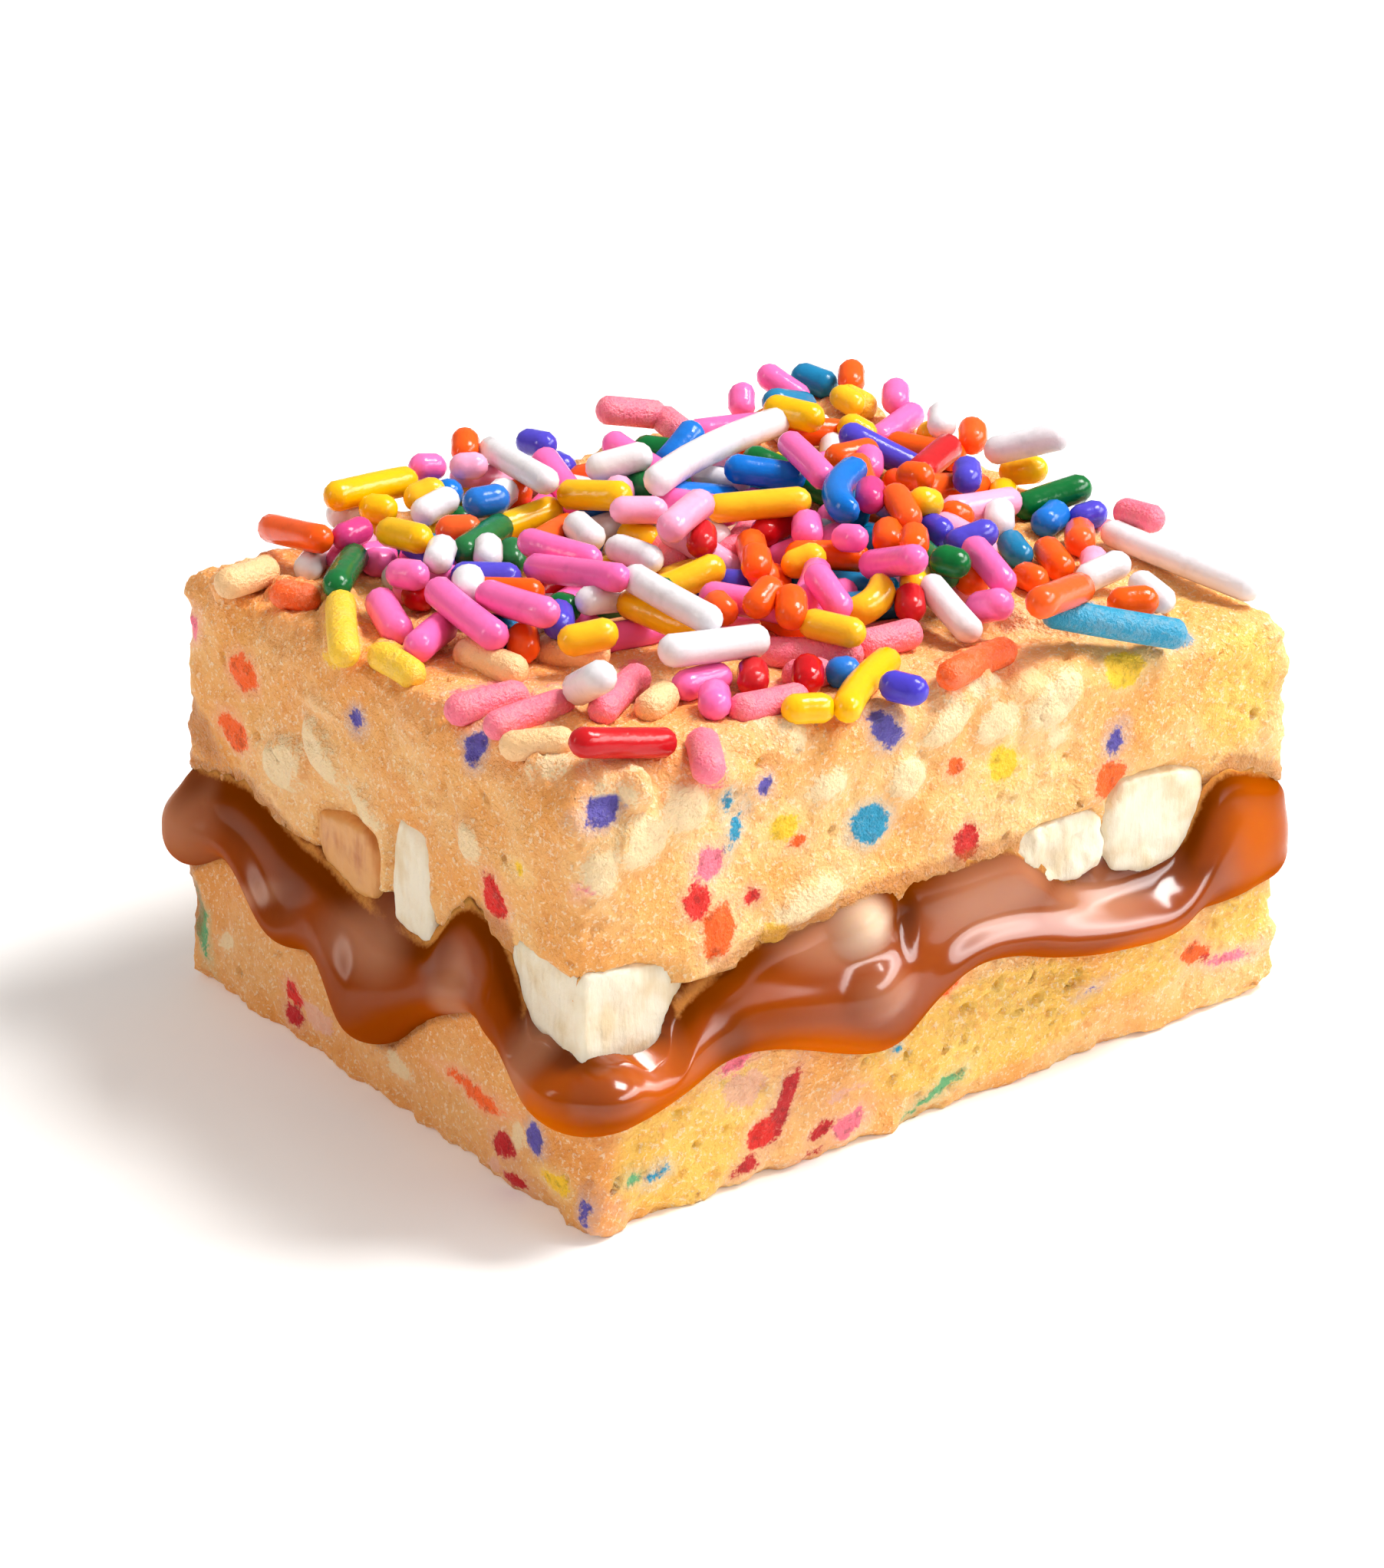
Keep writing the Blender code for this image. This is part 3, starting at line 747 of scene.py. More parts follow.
def dough_block(name, low, high, worn_top, sunk=()):
    """A block with rounded upright edges, its upper edges worn where it is the top layer."""
    bpy.ops.object.select_all(action="DESELECT")
    bottom = low - CRUMB_DEPTH * MM
    bpy.ops.mesh.primitive_cube_add(size=1, location=(0, 0, (bottom + high) / 2))
    block = bpy.context.object
    block.name = name
    block.scale = (LENGTH, WIDTH, high - bottom)
    bpy.ops.object.transform_apply(location=True, rotation=True, scale=True)
    for one in block.data.edges:
        ends = [block.data.vertices[index].co for index in one.vertices]
        one.select = abs(ends[0].z - ends[1].z) > MM
    bpy.ops.object.mode_set(mode="EDIT")
    bpy.ops.mesh.select_mode(type="EDGE")
    bpy.ops.mesh.bevel(offset=UPRIGHT_EDGE, segments=4, affect="EDGES")
    bpy.ops.object.mode_set(mode="OBJECT")
    remesh(block, ROUGH_VOXEL)
    square = points_of(block)
    move_points(block, out_of_square(wear_top_edge(square) if worn_top else wear_bottom_edge(square)))
    rods_made = [rod_mesh(*rod["ends"], ROD_RADIUS) for rod in sunk]
    only(block)
    for rod in rods_made:
        rod.select_set(True)
    if rods_made:
        bpy.ops.object.join()
    remesh(block, FINE_VOXEL)
    relax(block, 2)
    return block


lower_dough = dough_block("lower_dough_crumb", 0.0, LOWER_DOUGH_TOP, False)
upper_dough = dough_block("upper_dough_crumb", UPPER_DOUGH_BOTTOM, HEIGHT, True, rods)
print("points:", len(lower_dough.data.vertices), len(upper_dough.data.vertices))

# %% [markdown]
# ## Crumb
#
# Several sizes of relief make the crumb: broad lumps, a finer grain, chips along the outer edges, and
# pits where the crumb is open. Each is a Displace modifier with cloud noise, and a vertex group keeps
# it to its place. Chips of chocolate are raised afterwards, and where a chunk shows in the cut side,
# the dough is pressed in a little round it.

# %% Where the chunks show
# How each chunk is stretched about its middle, and moved, in millimetres, to lie in its food.
CHUNK_FITS = {
    "white_chunk_corner": ((0.92, 0.94, 1.0), (0.05, 0.15, -1.2)),
    "white_chunk_left": ((1.0, 0.95, 1.0), (0.25, 0.0, -0.3)),
    "white_chunk_left_coated": ((1.0, 1.15, 1.0), (0.2, 0.0, -0.3)),
    "white_chunk_front_small": ((1.0, 1.0, 0.9), (0.0, 0.9, -0.2)),
    "white_chunk_front_round": ((1.12, 1.0, 1.1), (0.0, 0.15, 0.1)),
    "white_chunk_front_flat": ((1.2, 1.0, 0.95), (0.9, 0.15, 0.1)),
}


def chunk_fit(name, points):
    stretch, shift = CHUNK_FITS.get(name, ((1, 1, 1), (0, 0, 0)))
    middle = (points.min(0) + points.max(0)) / 2
    return middle + (points - middle) * stretch + np.array(shift) * MM


WINDOW_DEPTH = 0.6 * MM
WINDOW_BEYOND = 3.0 * MM
NEAR_WALL = 2 * MM
chunk_boxes = {}
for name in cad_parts:
    if name.startswith("white_chunk") and name != "white_chunk_front_small":
        low, high = chunk_fit(name, np.array([list(corner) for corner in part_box(name)]))
        low -= np.where(low < NEAR_WALL - np.array([*HALF, 1]), WINDOW_BEYOND, 0)
        high += np.where(high > np.array([*HALF, 1]) - NEAR_WALL, WINDOW_BEYOND, 0)
        chunk_boxes[name] = (low, high)
print(len(chunk_boxes), "chunks show in the cut sides")

# %% Find where the crumb is open, where the chunks show and where crumbs break off
PATCH_DEPTH = 3.0
PATCH_FADE = (0.55, 1.25)
WINDOW_FADE = (0.78, 1.0)
EDGE_FADE = (0.6 * MM, 2.0 * MM)


def patch_weights(points):
    """How open and yellow the crumb is at each point, from 0 to 1."""
    weights = np.zeros(len(points))
    for *row, strength in OPEN_CRUMB:
        reach = reach_in(points, spot(*row), PATCH_DEPTH)
        weights = np.maximum(weights, strength * (1 - smoothly(reach, *PATCH_FADE)))
    return weights


def window_share(points):
    """How far each point of a wall lies inside the cut face of a chunk, where the dough makes way."""
    inside = np.zeros(len(points))
    for low, high in chunk_boxes.values():
        middle, half = (low + high) / 2, (high - low) / 2
        for axis, wall in ((0, HALF[0]), (1, HALF[1])):
            if max(abs(low[axis]), abs(high[axis])) < wall - NEAR_WALL:
                continue
            flat = np.delete((points - middle) / half, axis, axis=1)
            reach = (flat**4).sum(1) ** 0.25
            near = points[:, axis] * np.sign(middle[axis]) > wall - NEAR_WALL
            inside = np.maximum(inside, near * (1 - smoothly(reach, *WINDOW_FADE)))
    return inside


def near_an_edge(points, level):
    """How near each point is to an outer edge of the bite, where crumbs break off."""
    beside = HALF - np.abs(points[:, :2])
    three = np.sort(np.column_stack([beside, np.abs(level - points[:, 2])]), axis=1)
    return 1 - smoothly(three[:, 1], *EDGE_FADE)


# %% Push the crumb in and out
# Each relief: its size and depth (mm), and where it needs them the noise level that stays in place,
# the vertex group, the detail of the noise, and the stops that cut separate pits out of it.
LUMPY = (4.0, CRUMB_DEPTH, 0.4)
GRAINY = [(0.9, 0.32), (0.4, 0.22), (1.8, 0.5, 0.5, "open")]
CHIPPED = (2.1, 1.1, 0.58, "edges", 3)
PITTED = [(0.9, -0.55, 0.0, "open", 3, [(0.62, 0.0), (0.72, 1.0)]),
          (1.2, -0.5, 0.0, "", 2, [(0.77, 0.0), (0.85, 1.0)])]
LUMP_FADE = (-0.15, 0.45)


def crumble(block, low):
    """Gives a block its lumps, grain, chips and pits, and presses its bottom flat."""
    relief(block, *LUMPY)
    weigh(block, "open", patch_weights(points_of(block)))
    for numbers in GRAINY:
        relief(block, *numbers)
    weigh(block, "edges", near_an_edge(points_of(block), HEIGHT if low > 0 else 0.0))
    relief(block, *CHIPPED)
    before = points_of(block)
    for numbers in PITTED:
        relief(block, *numbers)
    points, normals = points_of(block), points_of(block, "normal")
    store(block, "pit", np.linalg.norm(points - before, axis=1) / MM)
    for lump in lumps:
        deep = smoothly(inside_spot(points, lump) / MM, *LUMP_FADE)
        points = points + normals * (deep * lump["proud"])[:, None]
    points -= normals * (window_share(points) * WINDOW_DEPTH)[:, None]
    points[:, 2] = np.maximum(points[:, 2], low)
    move_points(block, points)
    shade_smooth(block)


crumble(lower_dough, 0.0)
crumble(upper_dough, UPPER_DOUGH_BOTTOM)
print("deepest pit", round(max(row.value for row in upper_dough.data.attributes["pit"].data), 2), "mm")

# %% [markdown]
# ## Caramel
#
# Soft caramel was pressed out between the layers and has run a little way down. It is a thin sheet
# where it leaves the dough above, and it gathers in a thick round bead along its lower edge, where it
# drips. Its rim is laid round the block as a band of stations: at each one, a profile runs from the
# upper edge down over the sheet and the bead and back into the dough.

# %% Where the caramel's edges run
# Place along the side, lower edge, upper edge and bulge of the bead, in millimetres, and how full
# the sheet above the bead is beside it.
CARAMEL_EDGE = {
    "front": [
        (-22, 6.1, 9.9, 1.5, 1), (-20.5, 6.3, 9.5, 1.5, 1), (-18.7, 6.7, 9.7, 1.3, 1),
        (-17.5, 7, 11.8, 1, 0.8), (-16, 7.7, 12.5, 0.92, 0.75), (-14, 7.8, 13.4, 0.92, 0.75),
        (-12, 7.4, 13.9, 1, 0.8), (-10, 6.7, 13.9, 1.17, 0.85), (-8, 5.9, 14.3, 1.43, 0.9),
        (-6, 5.3, 14.4, 1.6, 0.9), (-4, 5.6, 14.4, 1.51, 0.85), (-2.5, 6.8, 14.4, 1.34, 0.6),
        (-1, 7.8, 14.3, 1.26, 0.35), (0.7, 8.35, 14.2, 1.26, 0.25), (2.5, 8.2, 14.2, 1.26, 0.2),
        (4, 7.9, 14.1, 1.34, 0.2), (5.5, 7.3, 12.7, 1.43, 0.25), (7, 6.9, 11.6, 1.51, 0.3),
        (9, 6.45, 10.7, 1.6, 0.35), (11, 6.2, 10.2, 1.6, 0.35), (13.5, 6, 10.1, 1.6, 0.35),
        (15.2, 6.3, 10.2, 1.51, 0.4), (16.3, 6.9, 10.9, 1.2, 0.55), (17.1, 6.7, 13, 1.15, 0.8),
        (18.2, 6.6, 14.1, 1, 0.95), (20.2, 6.6, 14, 0.8, 0.95), (21.7, 6.8, 13.4, 0.5, 0.95),
    ],
    "right": [
        (-16.9, 7.4, 13, 0.4, 0.9), (-15.5, 8.2, 13.2, 0.6, 0.7), (-11.5, 6, 13.8, 1.51, 0.5),
        (-6.5, 8.6, 14.2, 0.92, 0.6), (-1, 4.4, 14, 1.68, 0.7), (3, 7.6, 12.4, 1.09, 0.4),
        (6.5, 6.8, 10.4, 1.34, 0.4), (10, 6.9, 11, 1.34, 0.4), (13.5, 8.8, 14.4, 0.92, 0.5),
        (16.8, 7, 13.6, 1.26, 0.7),
    ],
    "back": [
        (20, 8.3, 14, 1, 0.6), (14.5, 5.2, 13.7, 1.6, 0.75), (9, 8.5, 14.2, 0.92, 0.5),
        (5, 7, 11.4, 1.17, 0.4), (1, 6.6, 10.4, 1.34, 0.4), (-3, 8.6, 12, 1, 0.5),
        (-8, 4.9, 14.2, 1.68, 0.75), (-13, 8.2, 13.7, 1, 0.4), (-17.5, 6.8, 13.6, 1.43, 0.5),
        (-21, 7, 13.2, 1.2, 0.9),
    ],
    "left": [
        (17.6, 7, 13.2, 1.4, 0.95), (16.3, 8, 13.2, 1.2, 0.75), (14.5, 8.9, 13.6, 0.9, 0.45),
        (12.5, 8.8, 13.9, 0.92, 0.3), (11, 7.7, 13.6, 1.09, 0.3), (10, 6.8, 13.3, 1.17, 0.3),
        (8.5, 6.15, 12.6, 1.26, 0.35), (7, 6.2, 12.3, 1.26, 0.4), (5.5, 6.7, 12.2, 1.09, 0.55),
        (4.3, 6.5, 12, 1.09, 0.7), (3.3, 5.4, 11.7, 1.26, 0.8), (2.2, 4, 11.3, 1.51, 0.85),
        (0.8, 3.35, 11, 1.6, 0.85), (-0.6, 3.6, 10.7, 1.51, 0.8), (-2, 4.5, 10.8, 1.34, 0.7),
        (-3.5, 5.9, 10.9, 1.09, 0.55), (-5, 7, 11.3, 0.92, 0.5), (-6.5, 7.8, 13.3, 0.84, 0.5),
        (-8, 8.5, 14.7, 0.75, 0.5), (-9.3, 9.1, 15, 0.75, 0.5), (-10.6, 8.9, 14.6, 0.84, 0.55),
        (-11.8, 8.3, 14.1, 0.92, 0.6), (-12.7, 7.5, 12, 0.92, 0.6), (-13.5, 6.7, 9.9, 1, 0.6),
        (-14.8, 5.8, 9.8, 1.3, 0.9), (-16.6, 5.6, 10.1, 1.45, 0.95),
    ],
}

# %% A smooth line round the block
CARAMEL_CORNER = 1.5 * MM


def smooth_rows(rows, wanted, around):
    """Values at the wanted places from a smooth closed curve through rows of (place, value, ...)."""
    rows = np.array(sorted(rows))
    places = np.concatenate([rows[-2:, 0] - around, rows[:, 0], rows[:2, 0] + around])
    values = np.concatenate([rows[-2:, 1:], rows[:, 1:], rows[:2, 1:]])
    slopes = np.gradient(values, places, axis=0)
    at = np.clip(np.searchsorted(places, wanted, side="right") - 1, 0, len(places) - 2)
    width = (places[at + 1] - places[at])[:, None]
    t = (wanted - places[at])[:, None] / width
    start = values[at] * (2 * t**3 - 3 * t**2 + 1) + slopes[at] * width * (t**3 - 2 * t**2 + t)
    end = values[at + 1] * (3 * t**2 - 2 * t**3) + slopes[at + 1] * width * (t**3 - t**2)
    return start + end


CORNER_ARC = CARAMEL_CORNER * math.pi / 2
RUNS = [LENGTH - 2 * CARAMEL_CORNER, WIDTH - 2 * CARAMEL_CORNER] * 2
STARTS = [sum(RUNS[:side]) + side * CORNER_ARC for side in range(4)]
AROUND = sum(RUNS) + 4 * CORNER_ARC
SIDES = ["front", "right", "back", "left"]


def around_the_block(places):
    """Points and outward directions at distances round the block, from its front left corner."""
    points, outwards = np.zeros((len(places), 3)), np.zeros((len(places), 3))
    for side in range(4):
        angle = side * math.pi / 2
        along = np.array([math.cos(angle), math.sin(angle), 0])
        outward = np.array([along[1], -along[0], 0])
        middle = outward * HALF[1 - side % 2]
        run = places - STARTS[side]
        straight = (run >= 0) & (run <= RUNS[side])
        points[straight] = middle + along * (run[straight] - RUNS[side] / 2)[:, None]
        outwards[straight] = outward
        bend = (run > RUNS[side]) & (run < RUNS[side] + CORNER_ARC)
        turn = ((run[bend] - RUNS[side]) / CARAMEL_CORNER)[:, None]
        turned = outward * np.cos(turn) + along * np.sin(turn)
        points[bend] = middle + along * RUNS[side] / 2 - outward * CARAMEL_CORNER + turned * CARAMEL_CORNER
        outwards[bend] = turned
    return points, outwards


edge_rows = []
for side, name in enumerate(SIDES):
    forward = 1 if side < 2 else -1
    for along, low, high, bulge, full in CARAMEL_EDGE[name]:
        square = into_square(wall_point(name, along, low))
        top = into_square(wall_point(name, along, high))
        place = STARTS[side] + RUNS[side] / 2 + forward * square[side % 2]
        edge_rows.append([place, square[2], top[2], bulge * MM, full])

# %% [markdown]
# The profile is a round bead along the lower edge and a thin film above it. Between them the sheet
# swells where the caramel is full, and a broad shoulder leads from it into the bead, so that a wide
# highlight can lie along it. The lip, the soaked edge and the matt strip under it are kept too,
# because the material colours them.

# %% The profile of the rim
STATIONS = 640
FACE_ROWS = 44
PITCH = AROUND / STATIONS
# How many stations to each side the nearest part of the lower edge is looked for.
EDGE_REACH = 24
# The rows crowd towards the bead by this power, and the raggedness of the top fades by the next.
ROW_CROWDING = 1.5
RAGGED_FADING = 3
BEAD_HALF = 0.75 * MM
BEAD_SHARE = 0.38
SHOULDER_END = 2.3
CARAMEL_FILM = 0.65 * MM
FILM_RISE = 1.5 * MM
BELLY = 1.2 * MM
BELLY_FROM = 0.4
BELLY_SPAN = (0.1, 0.62)
LIP_FADE = (0.6, 1.25)
SOAKED = 0.9 * MM
MATT = (0.8 * MM, 2.2 * MM)
BESIDE_DOUGH = (UPPER_DOUGH_BOTTOM - 2.2 * MM, UPPER_DOUGH_BOTTOM - 1.2 * MM)


def softened(values, times):
    """Values round the rim, each averaged with its neighbours a number of times."""
    for _ in range(times):
        values = (np.roll(values, 1, 0) + 2 * values + np.roll(values, -1, 0)) / 4
    return values


def away_from_edge(height, low):
    """How far each point of the rim's face lies from the caramel's lower edge."""
    nearest = np.full(height.shape, 1.0)
    for offset in range(-EDGE_REACH, EDGE_REACH):
        first, second = np.roll(low, -offset), np.roll(low, -offset - 1)
        rise = (second - first)[:, None]
        above = height - first[:, None]
        share = np.clip((above * rise - offset * PITCH**2) / (PITCH**2 + rise**2), 0, 1)
        nearest = np.minimum(nearest, np.hypot((offset + share) * PITCH, above - share * rise))
    return nearest


def caramel_profile(low, high, bulge, full, ragged):
    """How far out and how high each ring of the face lies, from the top down, and what colours it."""
    down = 1 - (1 - np.linspace(0, 1, FACE_ROWS)) ** ROW_CROWDING
    height = high[:, None] + (low - high)[:, None] * down + ragged[:, None] * (1 - down) ** RAGGED_FADING
    bead = (BEAD_HALF + BEAD_SHARE * bulge + BELLY * np.clip(full - BELLY_FROM, 0, 1))[:, None]
    away = away_from_edge(height, low) / bead
    rounding = np.sqrt(1 - np.clip(1 - away, 0, 1) ** 2)
    sheet = full[:, None] * smoothly((high[:, None] - height) / (high - low)[:, None], *BELLY_SPAN)
    shoulder = 1 - (1 - sheet) * smoothly(away, 1.0, SHOULDER_END)
    out = bulge[:, None] * np.where(away < 1, rounding, shoulder)
    out += CARAMEL_FILM * np.minimum(rounding, smoothly(high[:, None] - height, 0, FILM_RISE))
    beside_dough = smoothly(high, *BESIDE_DOUGH)[:, None]
    soaked = (1 - smoothly(high[:, None] - height, 0, SOAKED)) * beside_dough
    matt = (1 - smoothly(high[:, None] - height, *MATT)) * beside_dough
    return out, height, 1 - smoothly(away, *LIP_FADE), soaked, matt


# %% Lay out the rings, from the middle of the slab's top over the rim to the middle of its underside
EDGE_SOFTENED = 12
RAGGED_WAVES = (2.9, 0.83)
RAGGED_DEPTH = 0.22 * MM
SLAB_OVERLAP = 0.3 * MM
SLAB_RINGS = (0.3, 0.9)
CARAMEL_ROOT = 0.9 * MM
ROOT_OVER_BEAD = 0.5 * MM
# Round the chunk in the front left corner the root stays low, so that no shelf shows under the chunk.
PAST_CORNER_CHUNK = ((3.0 * MM, 4.2 * MM), (5.5 * MM, 7.0 * MM))

places = np.arange(STATIONS) * AROUND / STATIONS
low, high, bulge, full = softened(smooth_rows(edge_rows, places, AROUND), EDGE_SOFTENED).T
ragged = np.sin(places / MM * RAGGED_WAVES[0]) * np.sin(places / MM * RAGGED_WAVES[1] + 1) * RAGGED_DEPTH
out, height, lip, soaked, matt = caramel_profile(low, high, bulge, full, ragged)
points, outwards = around_the_block(places)


def slab_rings(shares, level):
    return [np.column_stack([points[:, :2] * share, np.full(STATIONS, level)]) for share in shares]


slab_low, slab_high = LOWER_DOUGH_TOP - SLAB_OVERLAP, UPPER_DOUGH_BOTTOM + SLAB_OVERLAP
from_corner = (places, AROUND - places)
past_chunk = np.minimum(*(smoothly(far, *fade) for far, fade in zip(from_corner, PAST_CORNER_CHUNK)))
root_high = high + SLAB_OVERLAP + (slab_high - high - SLAB_OVERLAP) * past_chunk
root_low = low + ROOT_OVER_BEAD
rings = slab_rings(SLAB_RINGS, slab_high)
rings.append(points - outwards * CARAMEL_ROOT + np.outer(root_high, UP))
for ring in range(FACE_ROWS):
    rings.append(points + outwards * out[:, ring, None] + np.outer(height[:, ring], UP))
rings.append(points - outwards * CARAMEL_ROOT + np.outer(root_low, UP))
rings += slab_rings(SLAB_RINGS[::-1], slab_low)
print(len(rings), "rings of", STATIONS, "stations")

# %% Lay the rings of a sphere out as the caramel
bpy.ops.object.select_all(action="DESELECT")
bpy.ops.mesh.primitive_uv_sphere_add(segments=STATIONS, ring_count=len(rings) + 1, radius=1)
caramel = bpy.context.object
caramel.name = "caramel_rim"
sphere = points_of(caramel)
level = np.round(np.arccos(np.clip(sphere[:, 2], -1, 1)) / math.pi * (len(rings) + 1)).astype(int) - 1
station = np.round(np.arctan2(sphere[:, 1], sphere[:, 0]) / (2 * math.pi) * STATIONS).astype(int) % STATIONS
laid = np.array(rings)[np.clip(level, 0, len(rings) - 1), station]
laid[level < 0] = (0, 0, slab_high)
laid[level >= len(rings)] = (0, 0, slab_low)
first_face_ring = len(SLAB_RINGS) + 1
face = (level >= first_face_ring) & (level < first_face_ring + FACE_ROWS)


def on_face(values):
    """Values of the rim's face at the points of the mesh, and 0 at the points of the slab."""
    carried = np.zeros(len(laid))
    carried[face] = values[station[face], level[face] - first_face_ring]
    return carried


laid = out_of_square(laid)
move_points(caramel, laid)
shade_smooth(caramel)
print("thickest bead", round(float(out.max()) / MM, 2), "mm")

# %% Swell the caramel and store what its material reads
# Swellings and hollows: side, along, up, half width, half height (mm), turn (degrees), how far each
# stands out (mm), and how much a chunk whitens it from below.
CARAMEL_BUMPS = [
    ("front", -22.8, 8.9, 2.2, 1.3, 0, 0.5, 0), ("front", -6.7, 12.9, 2.1, 1.7, 5, 0.9, 1),
    ("front", -6.4, 9.6, 2.5, 1.9, 10, 0.95, 0), ("front", -4, 12.4, 0.9, 2, -12, -0.55, 0),
    ("front", -13, 10.6, 4.5, 1.2, -18, 0.2, 0), ("left", 16.6, 9.6, 2.6, 2.6, 0, 0.35, 0),
    ("left", -8.5, 12, 2.2, 2.6, 5, -0.3, 0), ("left", -11.6, 11, 1.2, 2.8, 0, 0.3, 0),
    ("right", -1, 8, 3, 2.5, 0, 0.5, 0), ("back", 14, 8.5, 3, 2.5, 0, 0.5, 0),
    ("back", -8, 8.5, 3, 2.5, 0, 0.5, 0),
]
# Where the caramel gets a painted reflection (pale), painted shade (dark), amber colour or less gloss:
# side, along, up, half width, half height (mm), and turn (degrees).
CARAMEL_TONES = {
    # Painted reflection: pale patches where the sheet would mirror the bright surroundings.
    "painted_reflection": [
        ("front", -8.5, 12.6, 3.4, 1.5, -10), ("front", 2.2, 12, 4.6, 2, 0),
        ("front", 9, 9.6, 4, 1.1, -14), ("front", -6.4, 9.6, 1.8, 1.2, 0),
        ("left", 17.4, 10.4, 3.4, 2.6, 0), ("left", 9.5, 8.8, 2.6, 0.7, 25),
        ("left", 0.2, 9.3, 3.4, 1.6, 0), ("left", -14.6, 9.4, 1.4, 2.6, 0),
        ("left", -8, 10, 1.8, 2.4, 0),
    ],
    # Painted shade: dark patches in the grooves and valleys, most on the left side, which lies in shade.
    "deep": [
        ("front", -4, 12.4, 0.9, 2, -12), ("front", -15.5, 9.6, 1.2, 1.8, 0),
        ("front", 15.2, 9.4, 2.2, 0.6, 0), ("left", -6.2, 12, 1.6, 2.4, 0),
        ("left", 7, 10.4, 1.8, 2.6, -25), ("left", 12.2, 11.9, 2.6, 1.3, -10),
        ("left", 3.5, 11.6, 2, 1.2, 0), ("left", 17.5, 12.6, 1.6, 1.6, 0),
    ],
    "amber": [
        ("front", -19.6, 8.2, 3.6, 2.2, 0), ("front", -9, 7.2, 4.5, 1.2, -20),
        ("front", 20.5, 10, 2.6, 3.6, 0), ("front", 12, 7, 4, 0.8, 0), ("left", -16.5, 7.2, 2.6, 2, 0),
        ("left", 9, 14, 2.6, 0.9, 0),
    ],
    "dull": [
        ("front", -14.5, 11.4, 5, 2, -20), ("front", 20.6, 10.5, 2.6, 3.8, 0),
        ("left", 17, 10, 2.6, 3, 0), ("left", -12, 12, 2, 3, 0),
    ],
}
TONE_DEPTH = 5.0
BUMP_FADE = (0.05, 1.15)
TONE_FADE = (0.3, 1.4)
# The share of its gloss that the caramel loses on its lip, on the left side and where it is dull.
LIP_LOSS, LEFT_LOSS, DULL_LOSS = 0.95, 0.65, 0.8

coated = np.zeros(len(laid))
for *row, proud, whitened in CARAMEL_BUMPS:
    found = spot(*row, proud=proud)
    raised = 1 - smoothly(reach_in(laid, found, TONE_DEPTH), *BUMP_FADE)
    laid = laid + points_of(caramel, "normal") * (raised * found["proud"])[:, None]
    coated = np.maximum(coated, raised * whitened)
move_points(caramel, laid)
stored = {"coated": coated, "thickness": on_face(out) / MM, "lip": on_face(lip), "soaked": on_face(soaked)}
for tone, rows in CARAMEL_TONES.items():
    reach = np.min([reach_in(laid, spot(*row), TONE_DEPTH) for row in rows], axis=0)
    stored[tone] = 1 - smoothly(reach, *TONE_FADE)
facing_left = smoothly(-laid[:, 0], HALF[0] - NEAR_WALL, HALF[0]) * (np.abs(laid[:, 1]) < HALF[1])
gloss = (1 - on_face(lip) * LIP_LOSS) * (1 - on_face(matt)) * (1 - facing_left * LEFT_LOSS)
stored["gloss"] = gloss * (1 - stored["dull"] * DULL_LOSS)
for name, values in stored.items():
    store(caramel, name, values)
shade_smooth(caramel)
print("stored on the caramel:", *stored)

# %% [markdown]
# ## Caramel stains
#
# Where caramel has soaked into the dough, the dough is tan and damp just outside its edges. The
# dough stores how near each point is to the caramel, and its material tints it there. It also stores
# the spot that each point lies in, and how open its crumb is.

# %% Store what the dough material reads
def along_the_sides(points):
    """How far round the block each point of a side lies."""
    x, y = points[:, 0], points[:, 1]
    side = np.where(np.abs(x) / HALF[0] > np.abs(y) / HALF[1], np.where(x > 0, 1, 3), np.where(y > 0, 2, 0))
    run = np.choose(side, [x, y, -x, -y])
    return np.choose(side, STARTS) + np.choose(side, RUNS) / 2 + run


# Where more caramel has soaked in above the far left blob, and a patch in the same colour below that
# blob: side, along, up, half width, half height (mm), turn (degrees).
STAINS = [("left", 17.2, 15.2, 4.2, 2.0, -25), ("left", 18.4, 4.6, 1.2, 3.2, 8)]
SPOT_STAIN_FADE = (0.2, 1.4)
# How the stain fades with the distance past the caramel's edges, and from the outer edge inwards (mm).
STAIN_FADE, STAIN_INWARD_FADE = (-0.2, 1.3), (1.5, 3.5)
# Below the caramel the stain is narrower by this factor.
STAIN_BELOW = 1.6
PALE = ("cream", "blush", "salmon")
PALE_GLAZE, ROD_GLAZE = 0.35, 0.3
ROD_SHOWS = 0.12 * MM
FAR_OUTSIDE = -5.0
# The left side lies in shade: how much darker its two layers of dough are, and where that begins.
UPPER_SHADED, LOWER_SHADED = 0.28, 0.5
SHADE_FADE = (HALF[0] - 2.5 * MM, HALF[0] - 0.5 * MM)


